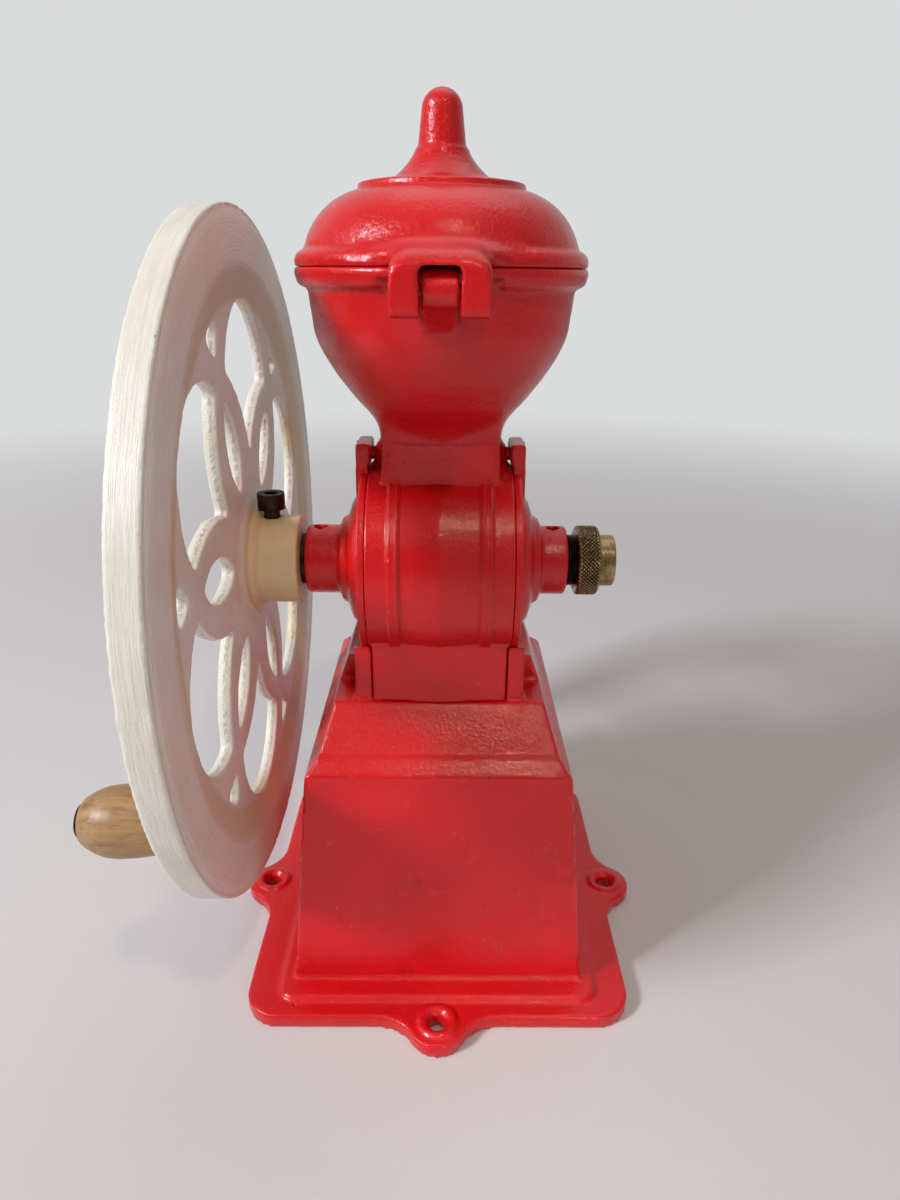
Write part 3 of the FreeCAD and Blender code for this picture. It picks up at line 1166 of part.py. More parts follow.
ear_hole = rod("LidEarHole", "X", "hinge_pin_radius+run_gap", "2*ear_outer", neg("ear_outer"),
               neg("hinge_back"), "pin_height")
node("lid", cut("Lid", join("LidRough", [lid_turned, lid_ears]), [ear_hole]))
node("lid_hinge_pin", rod("LidHingePin", "X", "hinge_pin_radius", "2*ear_outer", neg("ear_outer"),
                          neg("hinge_back"), "pin_height"))

# Drawer
front_face = "body_front+front_proud"
front_back = f"{front_face}-front_thick"
tray_solid = block("TraySolid", neg("tray_half"), "tray_half", neg("tray_back"), front_back,
                   "rail_top", "rail_top+tray_height")
tray_inside = block("TrayInside", neg("tray_half-tray_wall"), "tray_half-tray_wall",
                    neg("tray_back-tray_wall"), front_back, "rail_top+tray_floor", "rail_top+tray_height")
node("drawer_tray", cut("DrawerTray", tray_solid, [tray_inside]))
knob_place = "rail_top+front_height/2"
node("drawer_front", cut("DrawerFront",
                         block("FrontBoard", neg("tray_half"), "tray_half", front_back, front_face,
                               "rail_top", "rail_top+front_height"),
                         [rod("FrontHole", "Y", "knob_screw_radius", "front_thick", "0", front_back,
                              knob_place)]))
knob_rough = turned("KnobTurned", "Y", [
    ("0", "0"),
    ("knob_length", "0"),
    ("knob_length-knob_crown", "knob_face", cap("knob_crown", "knob_face")),
    ("knob_widest", "knob_radius", "knob_bulge"),
    ("knob_neck_end", "knob_neck", "knob_bulge"),
    ("0", "knob_foot", neg("knob_bulge"))], "0", front_face, knob_place)
knob_bore = rod("KnobBore", "Y", "knob_screw_radius", "knob_screw_length-front_thick", "0", front_face,
                knob_place)
node("drawer_knob", cut("DrawerKnob", knob_rough, [knob_bore]))
node("drawer_knob_screw", join("KnobScrew", [
    rod("KnobScrewShank", "Y", "knob_screw_radius", "knob_screw_length", "0", front_back, knob_place),
    rod("KnobScrewHead", "Y", "knob_head_radius", "knob_head_height", "0", f"{front_back}-knob_head_height",
        knob_place)]))

doc.recompute()
failed = [obj.Name for obj in doc.Objects if "Invalid" in obj.State or "Error" in obj.State]
if failed:
    raise RuntimeError(f"these objects failed: {failed}")
for obj in nodes:
    if obj.Shape.isNull() or not obj.Shape.isValid():
        raise RuntimeError(f"{obj.Label} has no valid shape")
for obj in nodes:
    obj.Shape.exportStep(f"parts/{obj.Label}.step")
    print(obj.Label, len(obj.Shape.Solids), "solids", round(obj.Shape.Volume), "mm3")
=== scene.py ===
import math

import bmesh
import bpy
from mathutils import Matrix, Vector, noise


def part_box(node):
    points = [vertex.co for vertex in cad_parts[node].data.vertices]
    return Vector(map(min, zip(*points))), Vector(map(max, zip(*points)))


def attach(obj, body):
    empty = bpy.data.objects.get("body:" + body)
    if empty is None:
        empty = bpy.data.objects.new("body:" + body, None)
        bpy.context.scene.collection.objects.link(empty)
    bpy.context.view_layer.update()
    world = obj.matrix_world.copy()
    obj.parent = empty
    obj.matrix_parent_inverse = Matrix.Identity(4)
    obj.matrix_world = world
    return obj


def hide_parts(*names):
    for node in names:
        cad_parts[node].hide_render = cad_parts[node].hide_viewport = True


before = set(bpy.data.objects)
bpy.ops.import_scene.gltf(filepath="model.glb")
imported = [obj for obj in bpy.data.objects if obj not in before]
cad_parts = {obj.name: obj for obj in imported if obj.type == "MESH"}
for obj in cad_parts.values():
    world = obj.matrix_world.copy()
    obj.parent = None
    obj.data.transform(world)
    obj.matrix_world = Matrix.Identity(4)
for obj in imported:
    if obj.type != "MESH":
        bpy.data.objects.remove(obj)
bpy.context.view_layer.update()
mm = 0.001
shaftHeight = 163.5  # crank shaft over the floor, in mm
print("frame loaded:", len(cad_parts), "nodes")


def hexColour(text):  # sRGB hex to the linear values that shaders take
    parts = [int(text[i:i + 2], 16) / 255 for i in (1, 3, 5)]
    return [c / 12.92 if c <= 0.04045 else ((c + 0.055) / 1.055) ** 2.4 for c in parts] + [1]


def grey(value):
    return (value, value, value, 1)


def addNode(tree, kind, settings=None, links=None, stops=None):  # one shader node, its settings and links
    made = tree.nodes.new(kind)
    for key, value in (settings or {}).items():
        setattr(made, key, value)
    for key, value in (links or {}).items():
        source = value.outputs[0] if isinstance(value, bpy.types.Node) else value
        if isinstance(source, bpy.types.NodeSocket):
            tree.links.new(source, made.inputs[key])
        else:
            made.inputs[key].default_value = source
    if stops:  # a colour ramp's (place, colour) pairs
        band = made.color_ramp.elements
        band[0].position, band[0].color = stops[0]
        band[1].position, band[1].color = stops[-1]
        for place, colour in stops[1:-1]:
            band.new(place).color = colour
    return made


def newMaterial(name, shaderValues):  # a material, its tree, its shader and the object's own coordinates
    made = bpy.data.materials.new(name)
    made.use_nodes = True
    shader = made.node_tree.nodes["Principled BSDF"]
    for key, value in shaderValues.items():
        shader.inputs[key].default_value = value
    coords = addNode(made.node_tree, "ShaderNodeTexCoord").outputs["Object"]
    return made, made.node_tree, shader, coords


def perMm(size):  # texture scale for a pattern whose patches are this many mm across
    return 1 / (size * mm)


enamelSkin = {"patch": 45, "smear": 14, "swell": 9, "swellDepth": 0.5, "pitDepth": 0.6,
              "bareShare": 0.62}  # mm, and the share of cells with no pit


def redEnamelFinish(name, colours, paint):  # gloss enamel brushed on cast iron: wet, grainy and pitted
    made, tree, shader, coords = newMaterial(name, {
        "Roughness": paint["shine"], "Specular IOR Level": 0.28, "Coat Weight": 0.45, "Coat Roughness": 0.05})
    tint = addNode(tree, "ShaderNodeTexNoise", links={
        "Vector": coords, "Scale": perMm(enamelSkin["patch"]), "Detail": 1.0})
    tone = addNode(tree, "ShaderNodeValToRGB", links={"Fac": tint}, stops=[
        (0.3, hexColour(colours[0])), (0.5, hexColour(colours[1])), (0.68, hexColour(colours[2]))])
    corners = addNode(tree, "ShaderNodeNewGeometry").outputs["Pointiness"]
    cornerShade = addNode(tree, "ShaderNodeValToRGB", links={"Fac": corners}, stops=[
        (0.42, grey(0.72)), (0.49, grey(1))])  # painted shade: corners and creases darkened
    base = addNode(tree, "ShaderNodeMix", {"data_type": "RGBA", "blend_type": "MULTIPLY"},
                   {0: 1.0, 6: tone, 7: cornerShade})
    tree.links.new(base.outputs[2], shader.inputs["Base Color"])
    smear = addNode(tree, "ShaderNodeTexNoise", links={
        "Vector": coords, "Scale": perMm(enamelSkin["smear"]), "Detail": 2.0})
    gloss = addNode(tree, "ShaderNodeValToRGB", links={"Fac": smear}, stops=[
        (0.3, grey(paint["shine"] * 0.85)), (0.72, grey(paint["shine"] * 1.2))])
    tree.links.new(gloss.outputs[0], shader.inputs["Roughness"])
    waves = addNode(tree, "ShaderNodeTexNoise", links={
        "Vector": coords, "Scale": perMm(enamelSkin["swell"]), "Detail": 2.0})
    sand = addNode(tree, "ShaderNodeTexNoise", links={
        "Vector": coords, "Scale": perMm(paint["grain"]), "Detail": 4.0, "Roughness": 0.6})
    cells = addNode(tree, "ShaderNodeTexVoronoi", links={"Vector": coords, "Scale": perMm(paint["pits"])})
    hole = addNode(tree, "ShaderNodeValToRGB", links={"Fac": cells}, stops=[(0.04, grey(0)), (0.11, grey(1))])
    chosen = addNode(tree, "ShaderNodeSeparateColor", links={"Color": cells.outputs["Color"]})
    bare = addNode(tree, "ShaderNodeMath", {"operation": "LESS_THAN"}, {
        0: chosen, 1: enamelSkin["bareShare"]})
    pit = addNode(tree, "ShaderNodeMath", {"operation": "MAXIMUM"}, {0: hole, 1: bare})
    swell = addNode(tree, "ShaderNodeBump", links={
        "Height": waves, "Distance": enamelSkin["swellDepth"] * mm, "Strength": 0.3})
    film = addNode(tree, "ShaderNodeBump", links={
        "Height": sand, "Distance": paint["grainDepth"] * mm, "Strength": 0.3, "Normal": swell})
    rough = addNode(tree, "ShaderNodeBump", links={
        "Height": sand, "Distance": paint["grainDepth"] * mm, "Strength": 0.7, "Normal": swell})
    for bump, socket in ((film, "Coat Normal"), (rough, "Normal")):  # the skin is smoother than the body
        pitted = addNode(tree, "ShaderNodeBump", links={
            "Height": pit, "Distance": enamelSkin["pitDepth"] * mm, "Strength": 0.5, "Normal": bump})
        tree.links.new(pitted.outputs[0], shader.inputs[socket])
    return made


# Foundry sand is about 0.3 mm, drawn four times as coarse so that it shows
redEnamel = redEnamelFinish("redGlossEnamelOnCastIron", ("#C20B11", "#CB0D14", "#D11016"), {
    "shine": 0.24, "grain": 1.3, "grainDepth": 0.5, "pits": 9})  # bright red, broken glints on sandy skin
redTrim = redEnamelFinish("redGlossEnamelOnSteel", ("#B80A10", "#C20D14", "#C91016"), {
    "shine": 0.24, "grain": 1.6, "grainDepth": 0.3, "pits": 14})  # the same paint, a little deeper and calmer


wheelCasting = {"cell": 0.85, "rounds": 2, "lump": 0.1, "most": 195000, "plane": -74.7,
                "spokesFrom": 21.0, "spokesTo": 96.0, "spokeRounds": 12, "spokeTrim": 0.45, "webSink": 1.2,
                "bevel": (108.0, 95), "hubFoot": (22, 27), "lip": (120.5, 124), "lipDrop": 0.8,
                "flashRise": 0.5, "flashWidth": 0.9, "flashGrain": 2.2, "hubRing": (-71.4, -68.3, 19.4)}
brushwork = {"stroke": 0.7, "strokesRound": 9.0, "patch": 30, "grain": 1.2, "ragged": 2.2, "chips": 7,
             "bevel": (0.09, 0.112), "hub": (0.025, 0.019), "seamReach": 0.0965,
             "seam": (1.1, 0.2)}  # mm, but strokesRound is a factor, and bevel, hub and seamReach are in m


def creamEnamelFinish():  # cream enamel brushed round the wheel: fine strokes, dark chips, and painted shade: corners, rim bevel and hub darker and yellower
    made, tree, shader, coords = newMaterial("creamBrushedEnamel", {
        "Roughness": 0.4, "Coat Weight": 0.15, "Coat Roughness": 0.25})
    centred = addNode(tree, "ShaderNodeVectorMath", {"operation": "SUBTRACT"}, {
        0: coords, 1: (0, 0, shaftHeight * mm)})
    parts = addNode(tree, "ShaderNodeSeparateXYZ", links={"Vector": centred})
    flat = addNode(tree, "ShaderNodeVectorMath", {"operation": "MULTIPLY"}, {0: centred, 1: (0, 1, 1)})
    reach = addNode(tree, "ShaderNodeVectorMath", {"operation": "LENGTH"}, {0: flat})
    turn = addNode(tree, "ShaderNodeMath", {"operation": "ARCTAN2"}, {
        0: parts.outputs["Z"], 1: parts.outputs["Y"]})
    across = addNode(tree, "ShaderNodeMath", {"operation": "MULTIPLY"}, {
        0: parts.outputs["X"], 1: perMm(brushwork["stroke"])})
    outward = addNode(tree, "ShaderNodeMath", {"operation": "MULTIPLY"}, {
        0: reach.outputs["Value"], 1: perMm(brushwork["stroke"])})
    along = addNode(tree, "ShaderNodeMath", {"operation": "MULTIPLY"}, {
        0: turn, 1: brushwork["strokesRound"]})
    strokes = addNode(tree, "ShaderNodeCombineXYZ", links={"X": across, "Y": outward, "Z": along})
    brush = addNode(tree, "ShaderNodeTexNoise", links={
        "Vector": strokes, "Scale": 1.0, "Detail": 4.0, "Roughness": 0.62})
    sand = addNode(tree, "ShaderNodeTexNoise", links={
        "Vector": coords, "Scale": perMm(brushwork["grain"]), "Detail": 4.0, "Roughness": 0.6})
    tint = addNode(tree, "ShaderNodeTexNoise", links={
        "Vector": coords, "Scale": perMm(brushwork["patch"]), "Detail": 3.0})
    tone = addNode(tree, "ShaderNodeValToRGB", links={"Fac": tint}, stops=[
        (0.3, hexColour("#E0DACB")), (0.55, hexColour("#E8E3D8")), (0.75, hexColour("#ECE9E1"))])
    lines = addNode(tree, "ShaderNodeValToRGB", links={"Fac": brush}, stops=[
        (0.32, grey(0.88)), (0.58, grey(1))])
    body = addNode(tree, "ShaderNodeMix", {"data_type": "RGBA", "blend_type": "MULTIPLY"}, {
        0: 1.0, 6: tone, 7: lines})
    share = addNode(tree, "ShaderNodeMapRange", links={
        "Value": reach.outputs["Value"], "From Min": brushwork["bevel"][0],
        "From Max": brushwork["bevel"][1]})
    band = addNode(tree, "ShaderNodeValToRGB", links={"Fac": share}, stops=[
        (0.16, grey(0)), (0.26, grey(0.75)), (0.62, grey(0.6)), (0.8, grey(0))])
    body = addNode(tree, "ShaderNodeMix", {"data_type": "RGBA"}, {
        0: band, 6: body.outputs[2], 7: hexColour("#CFBB90")})  # painted shade: the rim's inward-facing bevel darker and yellower
    hubShade = addNode(tree, "ShaderNodeMapRange", {"interpolation_type": "SMOOTHSTEP"}, {
        "Value": reach.outputs["Value"], "From Min": brushwork["hub"][0], "From Max": brushwork["hub"][1],
        "To Max": 0.8})
    body = addNode(tree, "ShaderNodeMix", {"data_type": "RGBA"}, {
        0: hubShade, 6: body.outputs[2], 7: hexColour("#D8C28A")})  # painted shade: the hub darker and yellower
    off = addNode(tree, "ShaderNodeMath", {"operation": "SUBTRACT"}, {
        0: parts.outputs["X"], 1: wheelCasting["plane"] * mm})
    gap = addNode(tree, "ShaderNodeMath", {"operation": "ABSOLUTE"}, {0: off})
    line = addNode(tree, "ShaderNodeMapRange", {"interpolation_type": "SMOOTHSTEP"}, {
        "Value": gap, "From Min": brushwork["seam"][0] * mm, "From Max": brushwork["seam"][1] * mm})
    within = addNode(tree, "ShaderNodeMath", {"operation": "LESS_THAN"}, {
        0: reach.outputs["Value"], 1: brushwork["seamReach"]})
    ragged = addNode(tree, "ShaderNodeTexNoise", links={
        "Vector": coords, "Scale": perMm(brushwork["ragged"]), "Detail": 3.0, "Roughness": 0.75})
    torn = addNode(tree, "ShaderNodeValToRGB", links={"Fac": ragged}, stops=[(0.4, grey(0)), (0.66, grey(1))])
    seam = addNode(tree, "ShaderNodeMath", {"operation": "MULTIPLY"}, {0: line, 1: within})
    seam = addNode(tree, "ShaderNodeMath", {"operation": "MULTIPLY"}, {0: seam, 1: torn})
    seamShade = addNode(tree, "ShaderNodeMath", {"operation": "MULTIPLY"}, {0: seam, 1: 0.4})
    body = addNode(tree, "ShaderNodeMix", {"data_type": "RGBA"}, {
        0: seamShade, 6: body.outputs[2], 7: hexColour("#8F7C68")})  # painted shade along the torn parting line's ragged ridge
    ridges = addNode(tree, "ShaderNodeNewGeometry").outputs["Pointiness"]
    # painted shade: hollows and inner corners darker and yellower
    hollow = addNode(tree, "ShaderNodeValToRGB", links={"Fac": ridges}, stops=[
        (0.43, grey(0.7)), (0.49, grey(0))])
    body = addNode(tree, "ShaderNodeMix", {"data_type": "RGBA"}, {
        0: hollow, 6: body.outputs[2], 7: hexColour("#BFA274")})
    edge = addNode(tree, "ShaderNodeValToRGB", links={"Fac": ridges}, stops=[(0.54, grey(0)), (0.6, grey(1))])
    spots = addNode(tree, "ShaderNodeTexNoise", links={
        "Vector": coords, "Scale": perMm(brushwork["chips"]), "Detail": 5.0, "Roughness": 0.7})
    worn = addNode(tree, "ShaderNodeValToRGB", links={"Fac": spots}, stops=[(0.67, grey(0)), (0.7, grey(1))])
    chip = addNode(tree, "ShaderNodeMath", {"operation": "MULTIPLY"}, {0: edge, 1: worn})
    body = addNode(tree, "ShaderNodeMix", {"data_type": "RGBA"}, {
        0: chip, 6: body.outputs[2], 7: hexColour("#4A3A30")})
    tree.links.new(body.outputs[2], shader.inputs["Base Color"])
    normal = addNode(tree, "ShaderNodeBump", links={"Height": sand, "Distance": 0.25 * mm, "Strength": 0.4})
    normal = addNode(tree, "ShaderNodeBump", links={
        "Height": brush, "Distance": 0.45 * mm, "Strength": 0.5, "Normal": normal})
    normal = addNode(tree, "ShaderNodeBump", links={
        "Height": seam, "Distance": 0.5 * mm, "Strength": 0.5, "Normal": normal})
    for socket in ("Normal", "Coat Normal"):
        tree.links.new(normal.outputs[0], shader.inputs[socket])
    return made


creamEnamel = creamEnamelFinish()


stainPatch = 5  # mm


def metalFinish(name, colours, shine, grain, stretch=(1, 1, 1), corners=None, crest=None):  # stained metal
    made, tree, shader, coords = newMaterial(name, {"Metallic": 1.0, "Roughness": shine})
    mapping = addNode(tree, "ShaderNodeMapping", links={"Vector": coords, "Scale": stretch})
    lines = addNode(tree, "ShaderNodeTexNoise", links={
        "Vector": mapping, "Scale": perMm(grain), "Detail": 3.0})
    stain = addNode(tree, "ShaderNodeTexNoise", links={
        "Vector": coords, "Scale": perMm(stainPatch), "Detail": 4.0, "Roughness": 0.65})
    tone = addNode(tree, "ShaderNodeValToRGB", links={"Fac": stain}, stops=[
        (0.35, hexColour(colours[0])), (0.62, hexColour(colours[1]))])
    colour = tone.outputs[0]
    if corners:  # dirt left in the hollows, bare metal on the crests
        ridges = addNode(tree, "ShaderNodeNewGeometry").outputs["Pointiness"]
        stops = [(0.44, grey(0)), (0.53, grey(1))]
        if crest:  # the knurl's own height, kept on the mesh
            ridges = addNode(tree, "ShaderNodeAttribute", {"attribute_name": crest}).outputs["Fac"]
            stops = [(0.12, grey(0)), (0.7, grey(1))]
        clean = addNode(tree, "ShaderNodeValToRGB", links={"Fac": ridges}, stops=stops)
        colour = addNode(tree, "ShaderNodeMix", {"data_type": "RGBA"}, {
            0: clean, 6: hexColour(corners), 7: colour}).outputs[2]
    tree.links.new(colour, shader.inputs["Base Color"])
    spread = addNode(tree, "ShaderNodeValToRGB", links={"Fac": lines}, stops=[
        (0.3, grey(shine * 0.75)), (0.7, grey(shine * 1.4))])
    tree.links.new(spread.outputs[0], shader.inputs["Roughness"])
    normal = addNode(tree, "ShaderNodeBump", links={"Height": lines, "Distance": 0.03 * mm, "Strength": 0.5})
    tree.links.new(normal.outputs[0], shader.inputs["Normal"])
    return made


turnedX = (1, 0.1, 0.1)  # tool marks run round the shaft
agedBrass = metalFinish("agedKnurledBrass", ("#7A6544", "#B3A077"), 0.26, 0.35, (1, 0.12, 0.12),
                        "#120E09", "crest")  # dull yellow crests over near black grooves
knobBrass = metalFinish("turnedBrassKnob", ("#9A7A42", "#C9A962"), 0.24, 0.3, (0.2, 1, 0.2))  # bright
bronze = metalFinish("turnedBearingBronze", ("#7A5A33", "#A67B45"), 0.35, 0.3, turnedX)  # redder, oily
darkSteel = metalFinish("oiledBrownSteel", ("#2A201C", "#4A3B35"), 0.42, 0.4, (1, 0.2, 0.2))  # nearly black
threadSteel = metalFinish("oiledGreenBlackThread", ("#23261F", "#3F4539"), 0.34, 0.4, (1, 0.2, 0.2),
                          "#0E0F0C")  # greasy, greenish, black between the turns
shaftSteel = metalFinish("turnedShaftSteel", ("#47403B", "#6C6560"), 0.34, 0.3, turnedX)  # brownish rings
springSteel = metalFinish("drawnSpringWire", ("#4E4F52", "#77797C"), 0.3, 0.4)  # smooth cold grey
zincSteel = metalFinish("zincPlatedScrew", ("#8D8F8E", "#B5B6B4"), 0.28, 0.4)  # the palest of the steels
burrIron = metalFinish("groundBurrIron", ("#37363A", "#5B5B5D"), 0.5, 0.6)  # matt dark grey


fleckWidth = 0.75  # mm


def beechFinish(name, colours, along, grain, shine):  # fine straight grain with short dark flecks along it
    made, tree, shader, coords = newMaterial(name, {
        "Roughness": shine, "Coat Weight": 0.06, "Coat Roughness": 0.35})
    drawn = addNode(tree, "ShaderNodeMapping", links={
        "Vector": coords, "Scale": [0.09 if i == along else 1 for i in range(3)]})
    rings = addNode(tree, "ShaderNodeTexNoise", links={
        "Vector": drawn, "Scale": perMm(grain), "Detail": 4.0, "Roughness": 0.6, "Distortion": 0.4})
    short = addNode(tree, "ShaderNodeMapping", links={
        "Vector": coords, "Scale": [0.22 if i == along else 1 for i in range(3)]})
    flecks = addNode(tree, "ShaderNodeTexNoise", links={
        "Vector": short, "Scale": perMm(fleckWidth), "Detail": 2.0})
    tone = addNode(tree, "ShaderNodeValToRGB", links={"Fac": rings}, stops=[
        (0.3, hexColour(colours[0])), (0.5, hexColour(colours[1])), (0.72, hexColour(colours[2]))])
    dark = addNode(tree, "ShaderNodeValToRGB", links={"Fac": flecks}, stops=[
        (0.33, grey(0.7)), (0.43, grey(1))])
    wood = addNode(tree, "ShaderNodeMix", {"data_type": "RGBA", "blend_type": "MULTIPLY"}, {
        0: 0.75, 6: tone, 7: dark})
    tree.links.new(wood.outputs[2], shader.inputs["Base Color"])
    normal = addNode(tree, "ShaderNodeBump", links={"Height": rings, "Distance": 0.15 * mm, "Strength": 0.2})
    normal = addNode(tree, "ShaderNodeBump", links={
        "Height": flecks, "Distance": 0.12 * mm, "Strength": 0.35, "Normal": normal})
    tree.links.new(normal.outputs[0], shader.inputs["Normal"])
    return made


handleBeech = beechFinish("oiledBeechHandle", ("#82613F", "#A17E55", "#B08C5E"), 0, 3.2, 0.42)  # worn smooth
frontBeech = beechFinish("oiledBeechFront", ("#8C6840", "#A98154", "#B99263"), 0, 4.5, 0.45)  # warm, satin
trayBeech = beechFinish("planedBeechTray", ("#A98A62", "#C2A37A", "#CDB18A"), 1, 5.0, 0.6)  # pale and dry
print("finishes made")


def toPiece(name, shape, material, body, slot, *nodes):  # a bmesh becomes a piece that rides on a body
    bmesh.ops.recalc_face_normals(shape, faces=shape.faces)
    mesh = bpy.data.meshes.new(name)
    shape.to_mesh(mesh)
    shape.free()
    mesh.materials.append(material)
    mesh.polygons.foreach_set("use_smooth", [True] * len(mesh.polygons))
    made = bpy.data.objects.new(name, mesh)
    bpy.context.scene.collection.objects.link(made)
    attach(made, body)
    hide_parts(*nodes)
    return made


def added(shape, other):  # puts one bmesh into another
    mesh = bpy.data.meshes.new("added")
    other.to_mesh(mesh)
    other.free()
    shape.from_mesh(mesh)
    bpy.data.meshes.remove(mesh)


def mergedCopy(*nodes):  # the nodes' loose triangles joined up, in a bmesh of their own
    shape = bmesh.new()
    for node in nodes:
        shape.from_mesh(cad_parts[node].data)
    bmesh.ops.remove_doubles(shape, verts=shape.verts, dist=2e-6)
    return shape


def evaluated(name, shape, modifiers):  # a bmesh after modifiers, each one (kind, settings), as a bmesh again
    mesh = bpy.data.meshes.new(name)
    shape.to_mesh(mesh)
    shape.free()
    raw = bpy.data.objects.new(name, mesh)
    bpy.context.scene.collection.objects.link(raw)
    for kind, settings in modifiers:
        modifier = raw.modifiers.new(kind.lower(), kind)
        for key, value in settings.items():
            setattr(modifier, key, value)
    bpy.context.view_layer.update()
    baked = bpy.data.meshes.new_from_object(raw.evaluated_get(bpy.context.evaluated_depsgraph_get()))
    bpy.data.objects.remove(raw)
    bpy.data.meshes.remove(mesh)
    result = bmesh.new()
    result.from_mesh(baked)
    bpy.data.meshes.remove(baked)
    return result


def softened(shape, chosen, rounds):  # rubs down the vertices that chosen says yes to
    verts = [v for v in shape.verts if chosen(v.co / mm)]
    for _ in range(rounds):
        bmesh.ops.smooth_vert(shape, verts=verts, factor=0.5,
                              use_axis_x=True, use_axis_y=True, use_axis_z=True)


sandWaves = (11, 4)  # mm, the two sizes of swell on a cast face


def cast(nodes, recipe, additions=None, rubbed=(), relief=None):  # sand casting: melted arrises, uneven faces
    name = nodes[0]
    shape = mergedCopy(*nodes)
    if additions:
        additions(shape)
    shape = evaluated(name, shape, [
        ("REMESH", {"mode": "VOXEL", "voxel_size": recipe["cell"] * mm}),
        ("SMOOTH", {"factor": 0.5, "iterations": recipe["rounds"]})])
    for chosen, rounds in rubbed:
        softened(shape, chosen, rounds)
    triangles = sum(len(face.verts) - 2 for face in shape.faces)
    if triangles > recipe["most"]:
        shape = evaluated(name, shape, [("DECIMATE", {"ratio": recipe["most"] / triangles})])
    boxes = [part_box(node) for node in nodes]
    low = [min(box[0][i] for box in boxes) for i in range(3)]
    high = [max(box[1][i] for box in boxes) for i in range(3)]
    shape.normal_update()
    for vertex in shape.verts:
        place, normal = vertex.co.copy(), vertex.normal.copy()
        swell = noise.noise(place / (sandWaves[0] * mm)) + 0.4 * noise.noise(place / (sandWaves[1] * mm))
        sunk = abs(swell) * recipe["lump"]
        proud = relief(place / mm, normal) if relief else 0
        place += normal * (proud - sunk) * mm
        vertex.co = [min(max(place[i], low[i]), high[i]) for i in range(3)]
    print(name, len(shape.faces), "faces")
    return shape


def turned(profile, axis="X", centre=(0, 0, 0), steps=96):  # (place, radius) pairs in mm, spun about centre
    shape = bmesh.new()
    verts = [shape.verts.new(Vector((along, 0, radius)) * mm) for along, radius in profile]
    edges = [shape.edges.new(pair) for pair in zip(verts, verts[1:])]
    bmesh.ops.spin(shape, geom=verts + edges, cent=(0, 0, 0), axis=(1, 0, 0), angle=math.tau,
                   steps=steps, use_merge=True)
    bmesh.ops.remove_doubles(shape, verts=shape.verts, dist=1e-6)
    if axis == "Z":
        bmesh.ops.rotate(shape, verts=shape.verts, matrix=Matrix.Rotation(-math.pi / 2, 3, "Y"))
    bmesh.ops.translate(shape, verts=shape.verts, vec=Vector(centre) * mm)
    return shape


def rounded(profile, radius, steps=4):  # an outline's inner corners rounded, each within its two sides
    points = [Vector(p) for p in profile]
    out = [points[0]]
    for before, corner, after in zip(points, points[1:], points[2:]):
        a, b = before - corner, after - corner
        reach = min(radius, a.length * 0.45, b.length * 0.45)
        start, end = corner + a.normalized() * reach, corner + b.normalized() * reach
        for i in range(steps + 1):
            t = i / steps
            out.append(start * (1 - t) ** 2 + corner * 2 * t * (1 - t) + end * t ** 2)
    return [tuple(p) for p in out + [points[-1]]]


def eased(value, start, end):  # 0 to 1 between two values, with soft ends
    share = min(1, max(0, (value - start) / (end - start)))
    return share * share * (3 - 2 * share)


def slab(shape, outline, x0, x1):  # a (y, z) outline in mm made solid from x0 to x1
    ring = [shape.verts.new(Vector((x0, y, z)) * mm) for y, z in outline]
    grown = bmesh.ops.extrude_face_region(shape, geom=[shape.faces.new(ring)])["geom"]
    fresh = [g for g in grown if isinstance(g, bmesh.types.BMVert)]
    bmesh.ops.translate(shape, verts=fresh, vec=((x1 - x0) * mm, 0, 0))


# Grinding body: bowl, neck, drum and foot
bodyCasting = {"cell": 0.78, "rounds": 1, "lump": 0.1, "most": 195000,
               "neckLevels": [(205, 21.0, 16.0, 9.0), (213.7, 21.4, 16.6, 8.0), (217.5, 22.4, 18.8, 4.4),
                              (221, 25.4, 23.8, 3.0), (224.5, 29.4, 28.8, 2.3), (228.5, 33.4, 33.2, 2.0),
                              (232.5, 36.0, 36.0, 2.0)],  # height, half width, half depth, squareness
               "rubbing": [(208, 238, 50), (204, 247, 24), (200, 256, 14)],  # low, high, rounds
               "bead": [(262.4, 44.0), (262.7, 47.4), (263.6, 48.8), (265.2, 49.5), (267.3, 49.5),
                        (268.3, 49.2), (268.75, 48.6), (268.75, 44.0), (262.4, 44.0)],
               "hingeGap": (15.5, 20), "hingeSunk": 4.5,
               "bellyTrim": 1.3, "bellyLevel": 237, "bellySpan": 13, "bellyInner": 20,
               "arris": 0.8, "neckFoot": 196, "neckHalf": 21.4, "footTop": 134, "footHalf": 24}


def neckBlend(shape):  # the square neck flows into the round bowl
    ring = bmesh.ops.create_circle(shape, cap_ends=True, segments=72, radius=mm)["verts"]
    unit = {v: (v.co / mm).xy for v in ring}
    face = ring[0].link_faces[0]
    for level, (height, wide, deep, square) in enumerate(bodyCasting["neckLevels"]):
        if level:
            grown = bmesh.ops.extrude_face_region(shape, geom=[face])["geom"]
            face = [g for g in grown if isinstance(g, bmesh.types.BMFace)][0]
            fresh = [g for g in grown if isinstance(g, bmesh.types.BMVert)]
            old, unit = unit, {}
            for v in fresh:
                unit[v] = old[min(old, key=lambda o: (o.co - v.co).length)]
        for v, u in unit.items():
            scale = (abs(u.x) ** square + abs(u.y) ** square) ** (-1 / square)
            v.co = Vector((u.x * scale * wide, u.y * scale * deep, height)) * mm


def rimBead(shape):  # the bowl's rim bead, full and round, but for the hinge's place
    neckBlend(shape)
    bead = turned(bodyCasting["bead"], axis="Z", steps=180)
    for vertex in bead.verts:
        if vertex.co.y < 0:
            reach = vertex.co.xy.length
            away = eased(abs(vertex.co.x) / mm, *bodyCasting["hingeGap"])
            sunk = bodyCasting["hingeSunk"] * mm * (1 - away)
            vertex.co.xy *= (reach - sunk) / reach
    added(shape, bead)


